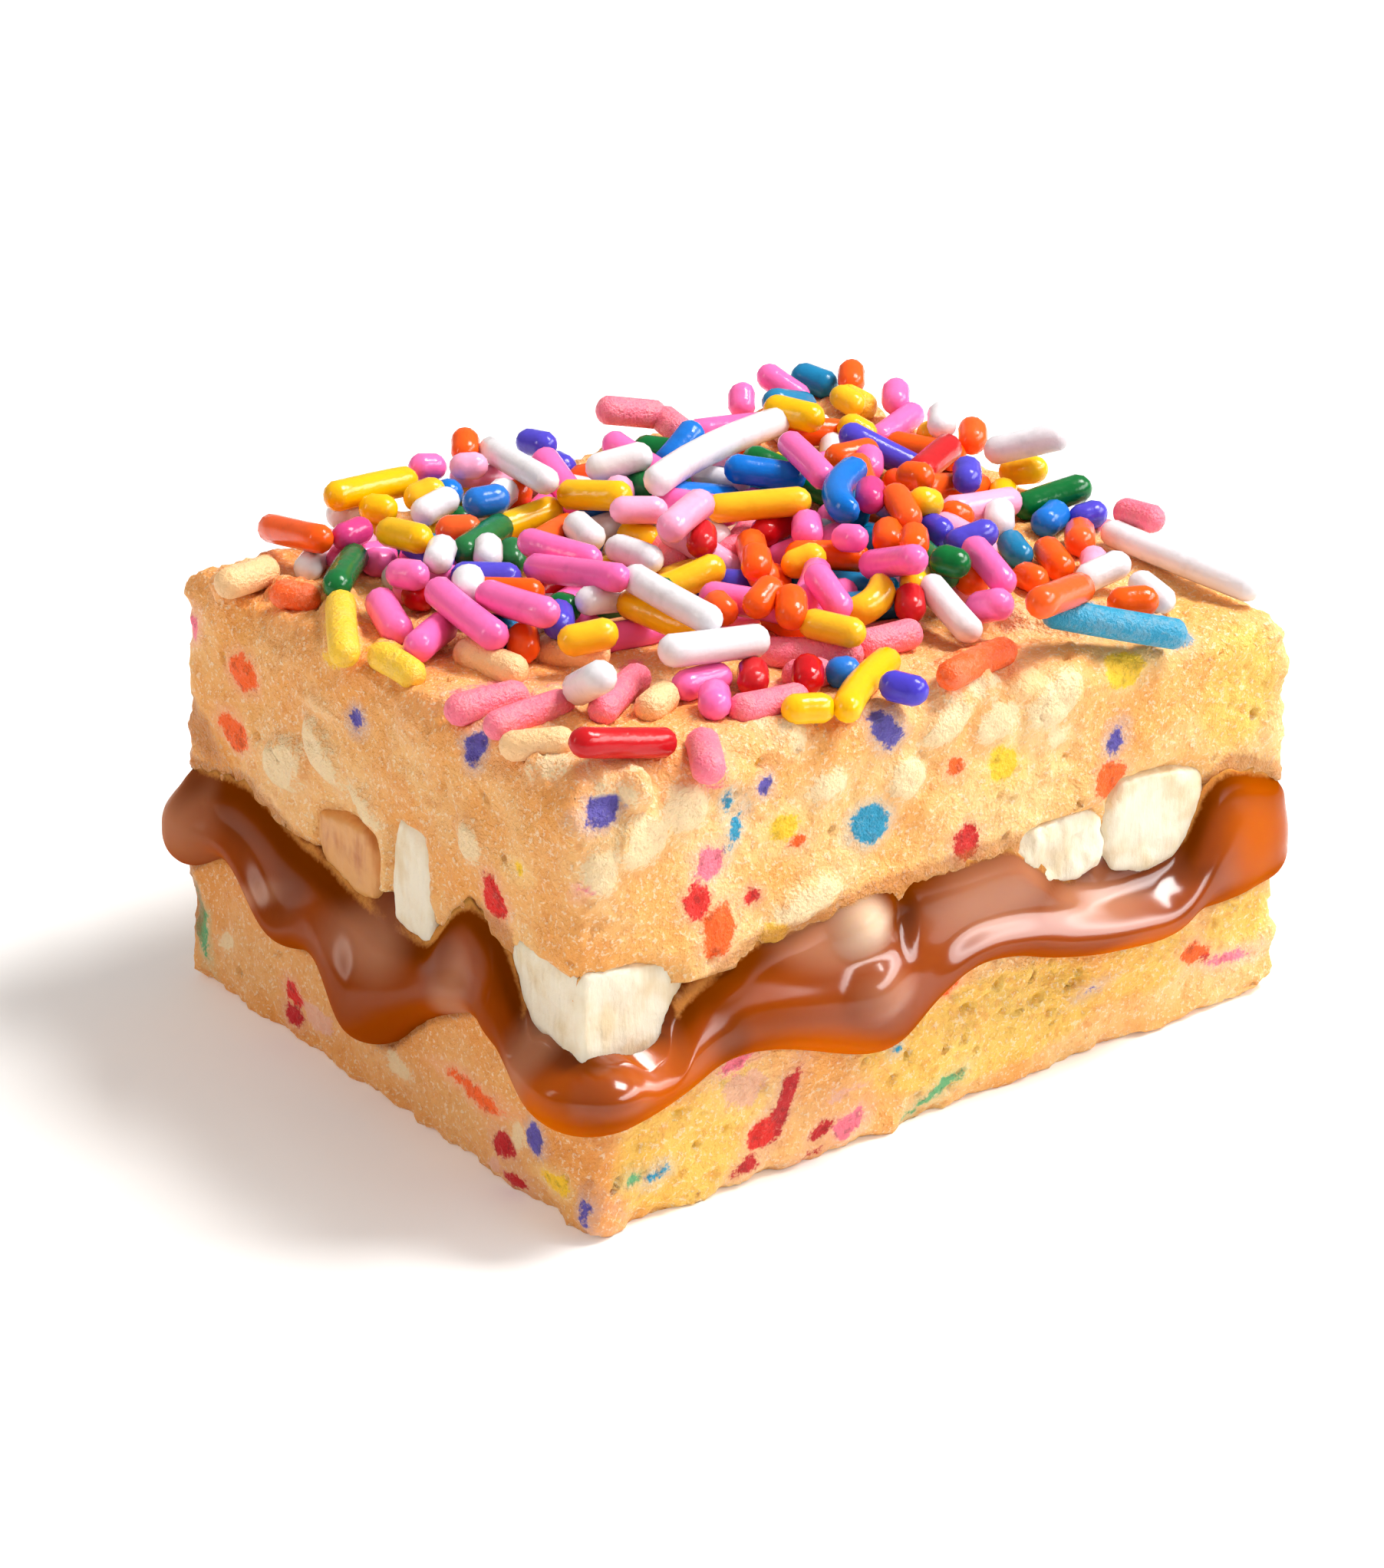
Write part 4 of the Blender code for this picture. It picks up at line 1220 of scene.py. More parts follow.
def paint_dough(block):
    """Stores on a layer of dough, for each point, the spot it lies in, its stain and its shade."""
    points = points_of(block)
    deepest = np.full(len(points), FAR_OUTSIDE)
    colour = np.tile(linear(COLOURS["cream"]), (len(points), 1))
    glaze = np.zeros(len(points))
    found = []
    for one in spots:
        found.append((inside_spot(points, one), one["colour"], PALE_GLAZE * (one["colour"] in PALE)))
    found += [(inside_spot(points, one), one["colour"], PALE_GLAZE) for one in lumps]
    if block is upper_dough:
        found += [(inside_rod(points, rod) + ROD_SHOWS, rod["colour"], ROD_GLAZE) for rod in rods]
    for deep, name, dulled in found:
        deep = deep / MM
        nearer = deep > deepest
        colour[nearer] = linear(COLOURS[name])
        deepest[nearer] = deep[nearer]
        glaze[nearer] = dulled
    store(block, "spot_colour", colour)
    store(block, "spot_depth", deepest)
    store(block, "glaze", glaze)
    store(block, "open_crumb", patch_weights(points))
    low, high, _, _ = smooth_rows(edge_rows, along_the_sides(points), AROUND).T
    beyond = np.maximum(points[:, 2] - high, (low - points[:, 2]) * STAIN_BELOW) / MM
    inward = (HALF - np.abs(points[:, :2])).min(1) / MM
    stain = (1 - smoothly(beyond, *STAIN_FADE)) * (1 - smoothly(inward, *STAIN_INWARD_FADE))
    for row in STAINS:
        stain = np.maximum(stain, 1 - smoothly(reach_in(points, spot(*row)), *SPOT_STAIN_FADE))
    store(block, "stain", stain)
    left_side = smoothly(-points[:, 0], *SHADE_FADE)
    store(block, "shaded", left_side * (LOWER_SHADED if block is lower_dough else UPPER_SHADED))


for block in (lower_dough, upper_dough):
    paint_dough(block)
    print("painted", block.name, "with", len(spots), "spots and", len(lumps), "lumps")

# %% [markdown]
# ## The dough material
#
# Pale peach dough with warm, sandy grain. The open crumb is yellower, its pits are deeper in colour,
# the top is baked a little darker, and light goes a little way into it, which subsurface scattering
# shows. Each line lays one colour over the one before, by a share that noise breaks up. The grain is
# too fine for the mesh, so it is a bump.

# %% Mix the dough
DOUGH_PEACH = (247, 176, 94)
DOUGH_PALE = (253, 206, 138)
DOUGH_YELLOW = (250, 202, 88)
DOUGH_DEEP = (228, 142, 66)
DOUGH_BAKED = (248, 168, 100)
DOUGH_GLINT = (255, 234, 200)
DOUGH_PIT = (242, 186, 58)
CARAMEL_STAIN = (176, 98, 38)

dough_material, paint = new_material("dough_crumb")
cloudy = grain(paint, 6.0 * MM, 3.0)
speckle = grain(paint, 0.6 * MM, 3.0, 0.65)
sand = grain(paint, 0.17 * MM, 1.0, 0.5)
glints = grain(paint, 0.26 * MM, 2.0, 0.7)
open_crumb = step(paint, attribute(paint, "open_crumb") + (cloudy - 0.5) * 0.8, 0.25, 0.7)
colour = mix(paint, step(paint, cloudy, 0.35, 0.65), linear(DOUGH_PEACH), linear(DOUGH_PALE))
height_up = paint.node("ShaderNodeSeparateXYZ", {}, {"Vector": place_on(paint)}, 2)
baked = step(paint, height_up + (cloudy - 0.5) * 4.0 * MM, 21.5 * MM, 25.0 * MM)
colour = mix(paint, baked * 0.75, colour, linear(DOUGH_BAKED))
colour = mix(paint, open_crumb * 0.8, colour, linear(DOUGH_YELLOW))
colour = mix(paint, step(paint, speckle, 0.48, 0.7) * 0.45, colour, linear(DOUGH_DEEP))
# Painted shade: the left side of both layers is darkened towards the deep colour, since that side lies in
# shade.
colour = mix(paint, attribute(paint, "shaded"), colour, linear(DOUGH_DEEP))
pit = step(paint, attribute(paint, "pit") + (speckle - 0.5) * 0.3, 0.16, 0.4)
colour = mix(paint, pit * 0.75, colour, linear(DOUGH_PIT))
# Painted glints: pale specks that stand in for light catching the sugar grains of the crumb.
colour = mix(paint, step(paint, glints, 0.54, 0.66) * 0.55, colour, linear(DOUGH_GLINT))
ragged = (grain(paint, 0.8 * MM, 2.0, 0.5) - 0.5) * 0.8 + (sand - 0.5) * 0.5
depth = attribute(paint, "spot_depth") + ragged
spot_colour = attribute(paint, "spot_colour", "Color")
glaze = attribute(paint, "glaze")
bled = mix(paint, 0.5, spot_colour, linear(DOUGH_GLINT))
spot_dark = mix(paint, 1.0, spot_colour, (0.5, 0.5, 0.5, 1.0), "MULTIPLY")
dark_share = (0.7 - glaze * 2.0).at_least(0.0)
spot_inner = mix(paint, step(paint, speckle, 0.5, 0.68) * dark_share, spot_colour, spot_dark)
# Painted glints fall on the spots as well.
spot_inner = mix(paint, step(paint, glints, 0.58, 0.7) * 0.15, spot_inner, bled)
colour = mix(paint, step(paint, depth, -0.8, 0.2) * (0.5 - glaze), colour, bled)
colour = mix(paint, step(paint, depth, -0.04, 0.2) * (0.96 - glaze * 0.6), colour, spot_inner)
stain = step(paint, attribute(paint, "stain") + (cloudy - 0.5) * 0.8 + (glints - 0.5) * 0.6, 0.35, 0.9)
colour = mix(paint, stain * 0.6, colour, linear(CARAMEL_STAIN))
height = speckle * 0.4 + glints * 0.35 + sand * 0.25
finish(paint, {
    "Base Color": colour,
    "Roughness": 0.55 - glaze * 0.4 - stain * 0.15,
    "Normal": bump(paint, height, 0.4 * MM, 1.0),
    "Subsurface Weight": 0.2,
    "Subsurface Radius": (1.0, 0.5, 0.25),
    "Subsurface Scale": 0.9 * MM,
    "Specular IOR Level": 0.2,
})
for block, node in ((lower_dough, "lower_dough"), (upper_dough, "upper_dough")):
    block.data.materials.clear()
    block.data.materials.append(dough_material)
    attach(block, "root")
    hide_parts(node)

# %% [markdown]
# ## The caramel material
#
# Cooked sugar with cream: brown where it is thick, darker where it is thin, and amber in places. Pale
# patches are a painted reflection of the bright surroundings, and dark patches are painted shade in
# hollows and on the left side. The gloss is a clear coat over a dull body, so its weight alone says
# where the caramel shines, and the highlights stay white. What was stored on the mesh drives all of it.

# %% Mix the caramel
CARAMEL_LIP = (154, 66, 0)
CARAMEL_BROWN = (146, 62, 2)
# This deep brown colours thin caramel, and is also laid on as painted shade in hollows.
CARAMEL_DEEP = (112, 46, 0)
CARAMEL_AMBER = (192, 88, 0)
# Painted reflection: the pale brown that stands for the bright surroundings mirrored in the sheet.
CARAMEL_PAINTED_REFLECTION = (182, 120, 88)
CARAMEL_OVER_CHUNK = (236, 206, 176)
CARAMEL_SOAKED = (214, 142, 72)

caramel_material, paint = new_material("soft_caramel")
cloudy = grain(paint, 5.0 * MM, 2.0)
thick = attribute(paint, "thickness")
thick = step(paint, thick + (cloudy - 0.5) * 0.8, 0.4, 1.2)
colour = mix(paint, thick, linear(CARAMEL_DEEP), linear(CARAMEL_BROWN))
colour = mix(paint, attribute(paint, "lip") * 0.6, colour, linear(CARAMEL_LIP))
# Amber and the white over the chunks are the caramel's own colours; the pale tone is a painted reflection
# and the deep tone painted shade.
for tone, tone_colour, share in (("amber", CARAMEL_AMBER, 0.95), ("painted_reflection", CARAMEL_PAINTED_REFLECTION, 0.8),
                                 ("deep", CARAMEL_DEEP, 0.7), ("coated", CARAMEL_OVER_CHUNK, 0.9)):
    colour = mix(paint, attribute(paint, tone) * share, colour, linear(tone_colour))
crumbs = grain(paint, 0.3 * MM, 2.0, 0.7)
edge = step(paint, attribute(paint, "soaked") + (crumbs - 0.5) * 0.6 + (cloudy - 0.5) * 0.8, 0.4, 1.0)
colour = mix(paint, edge * 0.75, colour, linear(CARAMEL_SOAKED))
finish(paint, {
    "Base Color": colour,
    "Roughness": 0.5,
    "Normal": bump(paint, grain(paint, 2.4 * MM, 2.0) * 0.3 + edge * crumbs, 0.25 * MM, 0.4),
    "Subsurface Weight": 0.5,
    "Subsurface Radius": (1.0, 0.4, 0.12),
    "Subsurface Scale": 1.0 * MM,
    "Specular IOR Level": 0.0,
    "Coat Weight": attribute(paint, "gloss"),
    "Coat Roughness": 0.16,
    "Coat IOR": 1.45,
})
caramel.data.materials.append(caramel_material)
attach(caramel, "root")
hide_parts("caramel")

# %% [markdown]
# ## White chocolate
#
# The chunks were cut with the bite, so each has a flat face where the knife went through and soft
# edges elsewhere. Their solids have that form already, so each is copied, its points are merged, it
# is rebuilt from voxels, and small reliefs make it crumbly. Two chunks lie under a skin of caramel.

# %% Make the chunks
CHUNK_VOXEL = 0.2 * MM
# The reliefs have bumps of these sizes, and depths that differ for crumbly chunks (mm).
CHUNK_LUMPS, CHUNK_GRAIN = 2.4, 0.7
CRUMBLY_DEPTHS, CUT_DEPTHS = (0.6, 0.4), (0.3, 0.1)
CHUNK_RELAXED = 6
COATED = ("white_chunk_left_coated", "white_chunk_front_small")
CRUMBLY = ("white_chunk_front_flat", "white_chunk_back")


def chunk(name):
    """A chunk's own solid, merged, fitted, rebuilt from voxels, softened and roughened."""
    bpy.ops.object.select_all(action="DESELECT")
    made = bpy.data.objects.new(name + "_cut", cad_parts[name].data.copy())
    bpy.context.scene.collection.objects.link(made)
    only(made)
    bpy.ops.object.mode_set(mode="EDIT")
    bpy.ops.mesh.select_all(action="SELECT")
    bpy.ops.mesh.remove_doubles(threshold=0.001 * MM)
    bpy.ops.object.mode_set(mode="OBJECT")
    move_points(made, chunk_fit(name, points_of(made)))
    remesh(made, CHUNK_VOXEL)
    relax(made, CHUNK_RELAXED)
    lumpy, grainy = CRUMBLY_DEPTHS if name in CRUMBLY else CUT_DEPTHS
    relief(made, CHUNK_LUMPS, lumpy, 0.4)
    relief(made, CHUNK_GRAIN, grainy)
    shade_smooth(made)
    return made


# %% Mix the white chocolate
IVORY = (240, 228, 204)
IVORY_SHADE = (226, 204, 164)
COATING = (222, 158, 88)
COATING_SHADE = (190, 112, 44)
FIBRE_DRAWN = (1.0, 1.0, 0.22)
FIBRE_SIZE = 0.5 * MM


def chocolate_material(name, base, shade, grain_depth):
    """Ivory chocolate, drawn into upright fibres by the knife."""
    made, paint = new_material(name)
    cloudy = grain(paint, 2.2 * MM, 3.0)
    fine = grain(paint, 0.35 * MM, 3.0, 0.6)
    stretched = {0: place_on(paint), 1: FIBRE_DRAWN}
    drawn = paint.node("ShaderNodeVectorMath", {"operation": "MULTIPLY"}, stretched)
    fibres = paint.node("ShaderNodeTexNoise", {}, {"Vector": drawn, "Scale": 1 / FIBRE_SIZE, "Detail": 3.0})
    colour = mix(paint, step(paint, cloudy + (fibres - 0.5) * 0.4, 0.4, 0.75), linear(base), linear(shade))
    finish(paint, {
        "Base Color": colour,
        "Roughness": 0.42,
        "Normal": bump(paint, fine * 0.3 + fibres * 0.7, grain_depth, 0.8),
        "Subsurface Weight": 0.4,
        "Subsurface Radius": (1.0, 0.8, 0.55),
        "Subsurface Scale": 1.2 * MM,
    })
    return made


ivory_material = chocolate_material("white_chocolate_cut", IVORY, IVORY_SHADE, 0.22 * MM)
coated_material = chocolate_material("white_chocolate_coated", COATING, COATING_SHADE, 0.1 * MM)
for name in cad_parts:
    if name.startswith("white_chunk"):
        made = chunk(name)
        made.data.materials.clear()
        made.data.materials.append(coated_material if name in COATED else ivory_material)
        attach(made, "root")
        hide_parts(name)
        print(made.name, len(made.data.polygons), "faces")

# %% [markdown]
# ## Sprinkles
#
# The strands on top are about 1.7 mm thick and 2 to 8 mm long, with round ends, and many are
# slightly bent. One rod is modelled from a sphere and copied, bent and stretched for each strand.
# The strands are laid one after another on a map of heights, so most rest on what lies below them.
# Those that the photograph shows keep to the camera's rays through their two ends, which leaves a
# few at the rims with one end free.

# %% Strands that the photograph shows
# Each row: the pixels of its two tips, and a sideways bend (mm) where it has one. Equal tips are a
# strand that points at the camera. The rows run from the lowest strands to those on top.
STRANDS_SEEN = [
    ("violet", 674, 573, 725, 583), ("violet", 710, 599, 748, 619), ("green", 870, 636, 895, 640),
    ("green", 655, 722, 680, 730), ("green", 715, 787, 754, 798), ("red", 526, 777, 567, 777),
    ("teal", 645, 815, 668, 823), ("yellow", 731, 838, 802, 823), ("violet", 720, 800, 735, 815),
    ("orange", 570, 692, 626, 690), ("yellow", 529, 655, 577, 634), ("white", 430, 680, 470, 655),
    ("magenta", 435, 706, 483, 685), ("yellow", 470, 662, 516, 665), ("orange", 606, 582, 606, 582),
    ("white", 897, 620, 975, 634), ("orange", 1022, 560, 1104, 565), ("yellow", 997, 530, 1073, 548),
    ("white", 1068, 583, 1104, 593), ("magenta", 1135, 645, 1135, 645), ("red", 904, 695, 925, 710),
    ("orange", 970, 736, 1000, 728), ("orange", 924, 777, 955, 808), ("yellow", 1022, 741, 1073, 721),
    ("orange", 977, 800, 1012, 757), ("orange", 1170, 619, 1216, 624), ("yellow", 1196, 565, 1237, 568),
    ("white", 1227, 548, 1227, 548), ("orange", 1267, 568, 1267, 568), ("yellow", 1186, 650, 1227, 660),
    ("white", 1303, 675, 1303, 675), ("orange", 1227, 665, 1267, 680), ("green", 1216, 726, 1262, 739),
    ("violet", 1200, 680, 1240, 700), ("orange", 1247, 757, 1288, 752), ("teal", 1308, 695, 1339, 736),
    ("rose", 1410, 726, 1440, 745), ("violet", 1395, 680, 1441, 665), ("yellow", 1308, 647, 1308, 647),
    ("pink", 966, 505, 969, 540), ("teal", 1033, 486, 1090, 507), ("yellow", 1085, 510, 1125, 535),
    ("orange", 1110, 492, 1110, 492), ("pink", 1150, 512, 1186, 522), ("yellow", 1095, 550, 1140, 575),
    ("blue", 1079, 879, 1119, 874), ("violet", 1150, 890, 1206, 904), ("red", 981, 882, 981, 882),
    ("red", 1045, 870, 1060, 888), ("rose", 797, 650, 815, 640), ("white", 1476, 752, 1527, 792),
    ("orange", 1446, 787, 1507, 782), ("pink", 473, 731, 516, 736), ("pink", 506, 746, 557, 752),
    ("white", 636, 720, 636, 720), ("violet", 590, 752, 677, 754), ("white", 611, 762, 611, 762),
    ("yellow", 807, 695, 858, 706), ("yellow", 636, 695, 731, 660), ("blue", 946, 609, 1048, 624),
    ("pink", 534, 609, 580, 609), ("rose", 588, 609, 634, 606), ("yellow", 424, 650, 542, 624),
    ("orange", 338, 685, 432, 706), ("green", 430, 777, 470, 713), ("yellow", 493, 690, 562, 706),
    ("white", 539, 675, 595, 645), ("blue", 606, 658, 662, 648), ("yellow", 728, 644, 822, 647),
    ("white", 566, 745, 582, 700), ("pink", 488, 772, 526, 835), ("pink", 534, 853, 588, 808),
    ("orange", 682, 838, 682, 838), ("white", 741, 675, 782, 711), ("pink", 623, 772, 725, 803),
    ("white", 752, 785, 815, 778), ("pink", 677, 703, 782, 733), ("white", 792, 710, 862, 735),
    ("rose", 863, 698, 924, 647), ("rose", 797, 665, 868, 665), ("white", 766, 614, 848, 591),
    ("white", 626, 578, 725, 635), ("orange", 1155, 578, 1257, 598), ("pink", 1135, 580, 1201, 532),
    ("orange", 1160, 634, 1191, 690), ("pink", 1132, 604, 1132, 604), ("pink", 1052, 690, 1052, 690),
    ("orange", 1158, 700, 1158, 700), ("orange", 1191, 700, 1191, 711), ("pink", 1086, 700, 1130, 703),
    ("violet", 1234, 713, 1298, 690), ("violet", 1260, 619, 1260, 619), ("yellow", 1303, 616, 1364, 611),
    ("green", 1323, 665, 1420, 632), ("blue", 1350, 692, 1388, 660), ("orange", 1355, 705, 1392, 752),
    ("orange", 1405, 682, 1410, 718), ("pink", 1262, 705, 1317, 770), ("orange", 1322, 745, 1364, 762),
    ("white", 1405, 760, 1470, 730), ("orange", 1350, 795, 1430, 765), ("pink", 1262, 795, 1318, 785),
    ("yellow", 1176, 757, 1210, 757), ("orange", 1030, 765, 1033, 818), ("pink", 1058, 740, 1102, 803),
    ("yellow", 1045, 810, 1125, 828), ("red", 1187, 786, 1187, 786), ("pink", 1122, 738, 1208, 727),
    ("white", 1205, 755, 1272, 832), ("pink", 879, 898, 950, 879), ("white", 740, 905, 797, 875),
    ("yellow", 1022, 925, 1085, 922), ("pink", 931, 912, 931, 912), ("white", 1285, 590, 1392, 566),
    ("pink", 990, 482, 1052, 525), ("pink", 1020, 568, 1084, 632), ("yellow", 807, 782, 922, 828),
    ("white", 815, 747, 936, 815), ("pink", 560, 762, 655, 838), ("pink", 685, 738, 820, 755),
    ("red", 746, 968, 879, 968), ("white", 1437, 690, 1640, 772), ("white", 862, 850, 1000, 833),
    ("yellow", 1104, 808, 1160, 757, -0.7), ("yellow", 1092, 935, 1163, 850, 0.4),
    ("yellow", 922, 664, 1055, 652), ("blue", 1110, 598, 1094, 680, -0.9),
    ("white", 838, 633, 1020, 543, 0.7),
]
STRAND_RADIUS = 0.84 * MM
TIP_TO_AXIS = 0.72 * MM
print(len(STRANDS_SEEN), "strands read from the photograph")

# %% Model one strand
STRAND_SIDES = 12
# Half the length of the model's straight part, in radii, before it is fitted to a strand.
STRAND_HALF = 2
bpy.ops.object.select_all(action="DESELECT")
bpy.ops.mesh.primitive_uv_sphere_add(segments=STRAND_SIDES, ring_count=7, radius=1)
strand = bpy.context.object
drawn_apart = points_of(strand)
drawn_apart[:, 2] += np.sign(drawn_apart[:, 2]) * STRAND_HALF
move_points(strand, drawn_apart)
for part in (*strand.data.vertices, *strand.data.polygons):
    part.select = False
for one in strand.data.edges:
    first, second = (strand.data.vertices[index] for index in one.vertices)
    one.select = first.co.z * second.co.z < 0
    if one.select:
        first.select = second.select = True
bpy.ops.object.mode_set(mode="EDIT")
bpy.ops.mesh.select_mode(type="EDGE")
bpy.ops.mesh.subdivide(number_cuts=5)
bpy.ops.object.mode_set(mode="OBJECT")
STRAND_POINTS = points_of(strand)
STRAND_FACES = [tuple(found.vertices) for found in strand.data.polygons]
bpy.data.objects.remove(strand)
print("one strand:", len(STRAND_POINTS), "points,", len(STRAND_FACES), "faces")

# %% [markdown]
# The map of heights is a grid over the top. It starts from the dough's own surface, and each strand
# that is laid raises it, so the next one comes to lie on top. Past the two far rims the map is out
# of reach, so a strand whose rays pass over them climbs along the rays until it is over the block.

# %% A map of heights, and laying a strand on it
CELL = 0.3 * MM
MAP_HALF = (27 * MM, 23 * MM)
map_size = [int(2 * half / CELL) + 1 for half in MAP_HALF]
FAR_BELOW = -1.0
heights = np.full(map_size, FAR_BELOW)


def cells(points):
    """The column and line of the map that each point lies over."""
    columns = np.clip(np.round((points[:, 0] + MAP_HALF[0]) / CELL).astype(int), 0, map_size[0] - 1)
    lines = np.clip(np.round((points[:, 1] + MAP_HALF[1]) / CELL).astype(int), 0, map_size[1] - 1)
    return columns, lines


# The map past the far rims is this high, which nothing can lie on, and that begins a little inside.
OFF_LIMITS = 1.0
RIM_KEPT = 0.4 * MM
x_line = np.arange(map_size[0])[:, None] * CELL - MAP_HALF[0]
y_line = np.arange(map_size[1])[None, :] * CELL - MAP_HALF[1]
far_corners = [out_of_square([x * HALF[0], y * HALF[1], HEIGHT]) for x, y in ((-1, 1), (1, 1), (1, -1))]
for first, second in zip(far_corners, far_corners[1:]):
    outward = np.array([first[1] - second[1], second[0] - first[0]]) / np.linalg.norm((second - first)[:2])
    beyond = (x_line - first[0]) * outward[0] + (y_line - first[1]) * outward[1]
    heights[beyond > -RIM_KEPT] = OFF_LIMITS
dough_points = points_of(upper_dough)
np.maximum.at(heights, cells(dough_points), dough_points[:, 2])
# A strand is tried at this many points, on its axis and, a share of its radius aside, on its flanks,
# whose height below the axis is FOOT_DROP radii.
SAMPLES = 9
FOOT, FOOT_DROP = 0.45, 0.893
LAY_FROM = TOP_MIDDLE - 2 * MM
LAY_STEP = 0.1 * MM
LAY_HIGHEST = 6.2 * MM
STEEPEST, LEVEL_ENOUGH = 0.35, 0.3 * MM


def needed(start, end):
    """The height that each of some points along a strand needs to clear what lies below it."""
    line = np.linspace(0, 1, SAMPLES)[:, None]
    axis = start + (end - start) * line
    way = (end - start)[:2]
    side = np.array([-way[1], way[0]]) / max(np.linalg.norm(way), TINY)
    most = np.full(SAMPLES, FAR_BELOW)
    for share, drop in ((-FOOT, FOOT_DROP), (0, 1.0), (FOOT, FOOT_DROP)):
        moved = axis.copy()
        moved[:, :2] += side * share * STRAND_RADIUS
        columns, lines = cells(moved)
        most = np.maximum(most, heights[columns, lines] + drop * STRAND_RADIUS)
    return axis[:, 2], most


STAMP = np.linspace(-0.9, 0.9, 7)
STAMP_REACH = 0.85
STAMP_STEP = CELL / 2


def stamp(start, end):
    """Raises the map by the top of a strand that has come to rest."""
    count = int(np.linalg.norm(end - start) / STAMP_STEP) + 2
    axis = start + (end - start) * np.linspace(0, 1, count)[:, None]
    for share in STAMP:
        for other in STAMP:
            reach = share**2 + other**2
            if reach < STAMP_REACH:
                moved = axis + np.array([share, other, 0]) * STRAND_RADIUS
                np.maximum.at(heights, cells(moved), axis[:, 2] + STRAND_RADIUS * math.sqrt(1 - reach))


def settle(place, sink):
    """Raises the two ends until the strand is clear, and then a low end until it isn't too steep.

    place gives both ends for their two heights. The last step can leave the low end free.
    """
    lift = np.full(2, LAY_FROM)
    for _ in range(int(LAY_HIGHEST / LAY_STEP)):
        start, end = place(lift)
        axis, most = needed(start, end)
        short = most - sink > axis
        halves = np.array([short[: SAMPLES // 2 + 1].any(), short[SAMPLES // 2:].any()])
        if not halves.any():
            break
        lift += halves * LAY_STEP
    start, end = place(lift)
    steep = STEEPEST * np.linalg.norm((end - start)[:2]) + LEVEL_ENOUGH
    return place(np.maximum(lift, lift.max() - steep))


# %% [markdown]
# The baked-in rods go down first, at the places that they have in the dough. Then a seeded layer
# fills the middle of the heap and the far side that the camera doesn't see, each strand at the lowest
# of a few places tried. The strands of the photograph are laid on it.

# %% Lay the strands
FILL_SEED = 24
FILL_TRIES = 9
FILL_LENGTHS = (1.6, 4.6)
HEAP_MIDDLE, HEAP_REACH = (0.0, 2.5), (17.0, 11.5)
FAR_RIM = ((-18.0, 16.0), (12.0, 16.5))
FAR_STRANDS, HEAP_STRANDS = 24, 75
# How deep a strand settles into what lies below it; near the front rim the dough was softer.
FILL_SINK, SEEN_SINK, NEAR_RIM_SINK = 0.35 * MM, 0.2 * MM, 0.5 * MM
NEAR_RIM_PIXEL = 940
ROD_BEND, FILL_BEND, SEEN_BEND = 0.15, 0.2, 0.12
FILL_COLOURS = ["pink", "pink", "white", "yellow", "orange", "orange", "rose", "blue", "violet",
                "green", "teal", "red", "yellow", "pink"]
draw = random.Random(FILL_SEED)
laid_strands = []


def straight_down(start, end):
    """Both ends of a strand that falls straight down from two places, for their heights."""
    return lambda lift: [np.array([*place, height]) for place, height in zip((start, end), lift)]


def along_rays(start, end):
    """Both ends of a strand that hides two pixels, for their heights, moved back at the rim."""
    ways, eye = [np.array(ray(*pixel)) for pixel in (start, end)], np.array(camera.location)

    def place(lift):
        ends = [eye + way * ((height - eye[2]) / way[2]) for way, height in zip(ways, lift)]
        step_back = back_over_the_block(ends, OVERHANG)
        return [end + step_back for end in ends]
    return place


def in_the_middle():
    reach, angle = math.sqrt(draw.uniform(0, 1)), draw.uniform(0, 2 * math.pi)
    return (np.array([math.cos(angle), math.sin(angle)]) * reach * HEAP_REACH + HEAP_MIDDLE) * MM


def along_the_far_rim():
    return np.array([draw.uniform(*span) for span in FAR_RIM]) * MM


def random_strand(anywhere):
    """A strand at a random place and heading, settled where it lands."""
    angle, long = draw.uniform(0, 2 * math.pi), draw.uniform(*FILL_LENGTHS) * MM
    middle = anywhere()
    half = np.array([math.cos(angle), math.sin(angle)]) * long / 2
    return settle(straight_down(middle - half, middle + half), FILL_SINK)


for rod in rods:
    left, high_pixel, right, low_pixel = rod["pixels"]
    ends = settle(along_rays((left, high_pixel), (right, low_pixel)), STRAND_RADIUS - rod["lift"])
    stamp(*ends)
    if rod["colour"] != "cream":
        laid_strands.append((rod["colour"], *ends, draw.uniform(-ROD_BEND, ROD_BEND)))
for anywhere in [along_the_far_rim] * FAR_STRANDS + [in_the_middle] * HEAP_STRANDS:
    tried = [random_strand(anywhere) for _ in range(FILL_TRIES)]
    ends = min(tried, key=lambda found: found[0][2] + found[1][2])
    stamp(*ends)
    laid_strands.append((draw.choice(FILL_COLOURS), *ends, draw.uniform(-FILL_BEND, FILL_BEND)))
print(len(laid_strands), "strands lie under those of the photograph")

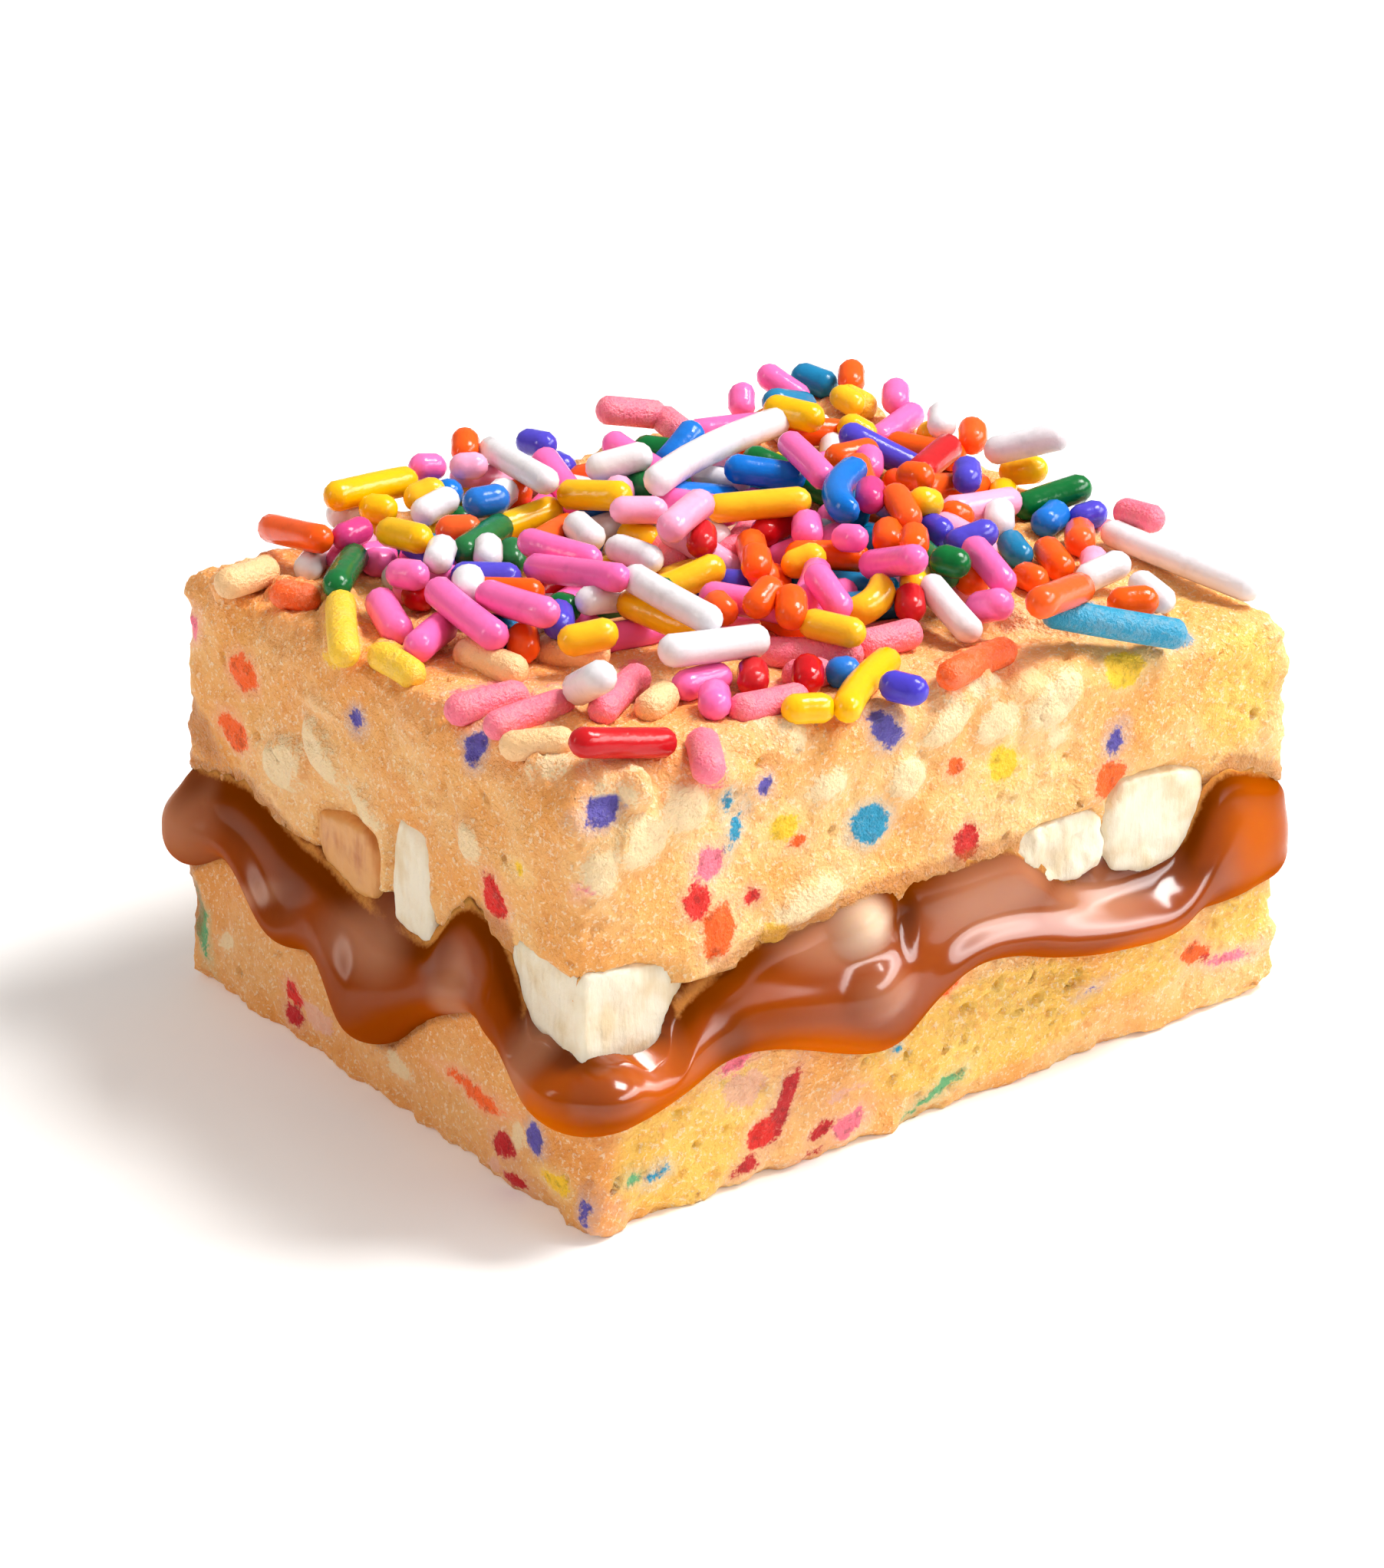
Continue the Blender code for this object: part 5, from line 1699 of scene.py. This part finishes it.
# %% Lay the strands of the photograph on them
# The rows give tips, and a strand is laid by the ends of its axis, which lie an inset further in. One
# that points at the camera shows as a dot and is given a few pixels of length.
inset = TIP_TO_AXIS / CAMERA_DISTANCE * LENS / SENSOR * PHOTO_SIZE[1]
SHORTEST_SEEN = 2.2
DOT_PIXELS = np.array([0, 6])
for colour_name, left, high_pixel, right, low_pixel, *bend in STRANDS_SEEN:
    start, end = np.array([left, high_pixel], float), np.array([right, low_pixel], float)
    apart = np.linalg.norm(end - start)
    if apart > SHORTEST_SEEN * inset:
        way = (end - start) / apart * inset
        start, end = start + way, end - way
    else:
        middle = (start + end) / 2
        start, end = middle + DOT_PIXELS, middle - DOT_PIXELS
    near_the_rim = max(start[1], end[1]) > NEAR_RIM_PIXEL
    ends = settle(along_rays(start, end), NEAR_RIM_SINK if near_the_rim else SEEN_SINK)
    stamp(*ends)
    laid_strands.append((colour_name, *ends, *(bend or [draw.uniform(-SEEN_BEND, SEEN_BEND)])))
tall = max(max(start[2], end[2]) for _, start, end, _ in laid_strands)
print(len(laid_strands), "strands, highest", round((tall + STRAND_RADIUS) / MM, 1), "mm")

# %% Bend and stretch one strand
def strand_points(start, end, bend, thick):
    """The points of one strand between two axis ends, bowed sideways by a bend in millimetres."""
    points = STRAND_POINTS.copy()
    points[:, :2] *= thick
    long = np.linalg.norm(end - start)
    middle = points[:, 2].copy()
    cap = np.abs(middle) - STRAND_HALF
    points[:, 2] = np.where(cap > 0, np.sign(middle) * (long / 2 + cap * STRAND_RADIUS),
                            middle / STRAND_HALF * long / 2)
    points[:, :2] *= STRAND_RADIUS
    share = np.clip(points[:, 2] / (long / 2 + STRAND_RADIUS), -1, 1)
    points[:, 0] += bend * MM * (0.5 - share**2)
    third = Vector(end - start).normalized()
    first = Vector(UP).cross(third).normalized()
    return points @ np.array([first, third.cross(first), third]) + (start + end) / 2


# %% Mix the sugar
# A strand's mottling is this share of its colour, and its palest strands this share nearer to white.
MOTTLED_DARKER, PALER = 0.62, 0.02
BAKED_ROUGHNESS, SUGAR_ROUGHNESS = 0.4, 0.2
BAKED_BUMPS, SUGAR_BUMPS = 0.25 * MM, 0.05 * MM


def sugar_material(colour_name):
    """Glossy coloured sugar; the colours that were in the oven are duller and a little crusted."""
    made, paint = new_material("sugar_" + colour_name)
    baked = colour_name.startswith("baked") or colour_name == "salmon"
    mottled = grain(paint, 0.9 * MM, 3.0)
    fine = grain(paint, 0.26 * MM, 2.0, 0.7) if baked else grain(paint, 0.5 * MM, 2.0)
    base = linear(COLOURS[colour_name])
    darker = (*(part * MOTTLED_DARKER for part in base[:3]), 1.0)
    paler = (*(part + (1 - part) * PALER for part in base[:3]), 1.0)
    colour = mix(paint, step(paint, attribute(paint, "tint"), -1.0, 1.2), base, paler)
    colour = mix(paint, step(paint, mottled, 0.5, 0.8) * 0.35, colour, darker)
    if baked:
        crusted = step(paint, mottled + (fine - 0.5) * 0.8, 0.45, 0.62)
        colour = mix(paint, crusted * 0.08, colour, linear(DOUGH_GLINT))
    finish(paint, {
        "Base Color": colour,
        "Roughness": (BAKED_ROUGHNESS if baked else SUGAR_ROUGHNESS) + (mottled - 0.5) * 0.2,
        "Normal": bump(paint, fine, BAKED_BUMPS if baked else SUGAR_BUMPS, 0.7),
        "Subsurface Weight": 0.25,
        "Subsurface Radius": (1.0, 1.0, 1.0),
        "Subsurface Scale": 0.4 * MM,
        "Specular IOR Level": 0.3,
    })
    return made


# %% Build the strands of each colour as one mesh
SHADE_SEED = 3
STRAND_THICKNESS = (0.93, 1.06)
shades = random.Random(SHADE_SEED)
for colour_name in sorted(set(row[0] for row in laid_strands)):
    chosen = [row for row in laid_strands if row[0] == colour_name]
    all_points, all_faces, tint = [], [], []
    for count, (_, start, end, bend) in enumerate(chosen):
        all_points.append(strand_points(start, end, bend, shades.uniform(*STRAND_THICKNESS)))
        offset = count * len(STRAND_POINTS)
        all_faces += [tuple(index + offset for index in found) for found in STRAND_FACES]
        tint += [shades.uniform(-1, 1)] * len(STRAND_POINTS)
    mesh = bpy.data.meshes.new("sprinkles_" + colour_name)
    mesh.from_pydata(np.concatenate(all_points).tolist(), [], all_faces)
    heap = bpy.data.objects.new("sprinkles_" + colour_name, mesh)
    bpy.context.scene.collection.objects.link(heap)
    store(heap, "tint", np.array(tint))
    shade_smooth(heap)
    heap.data.materials.append(sugar_material(colour_name))
    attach(heap, "root")
    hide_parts("upper_dough")
    print(colour_name, len(chosen))
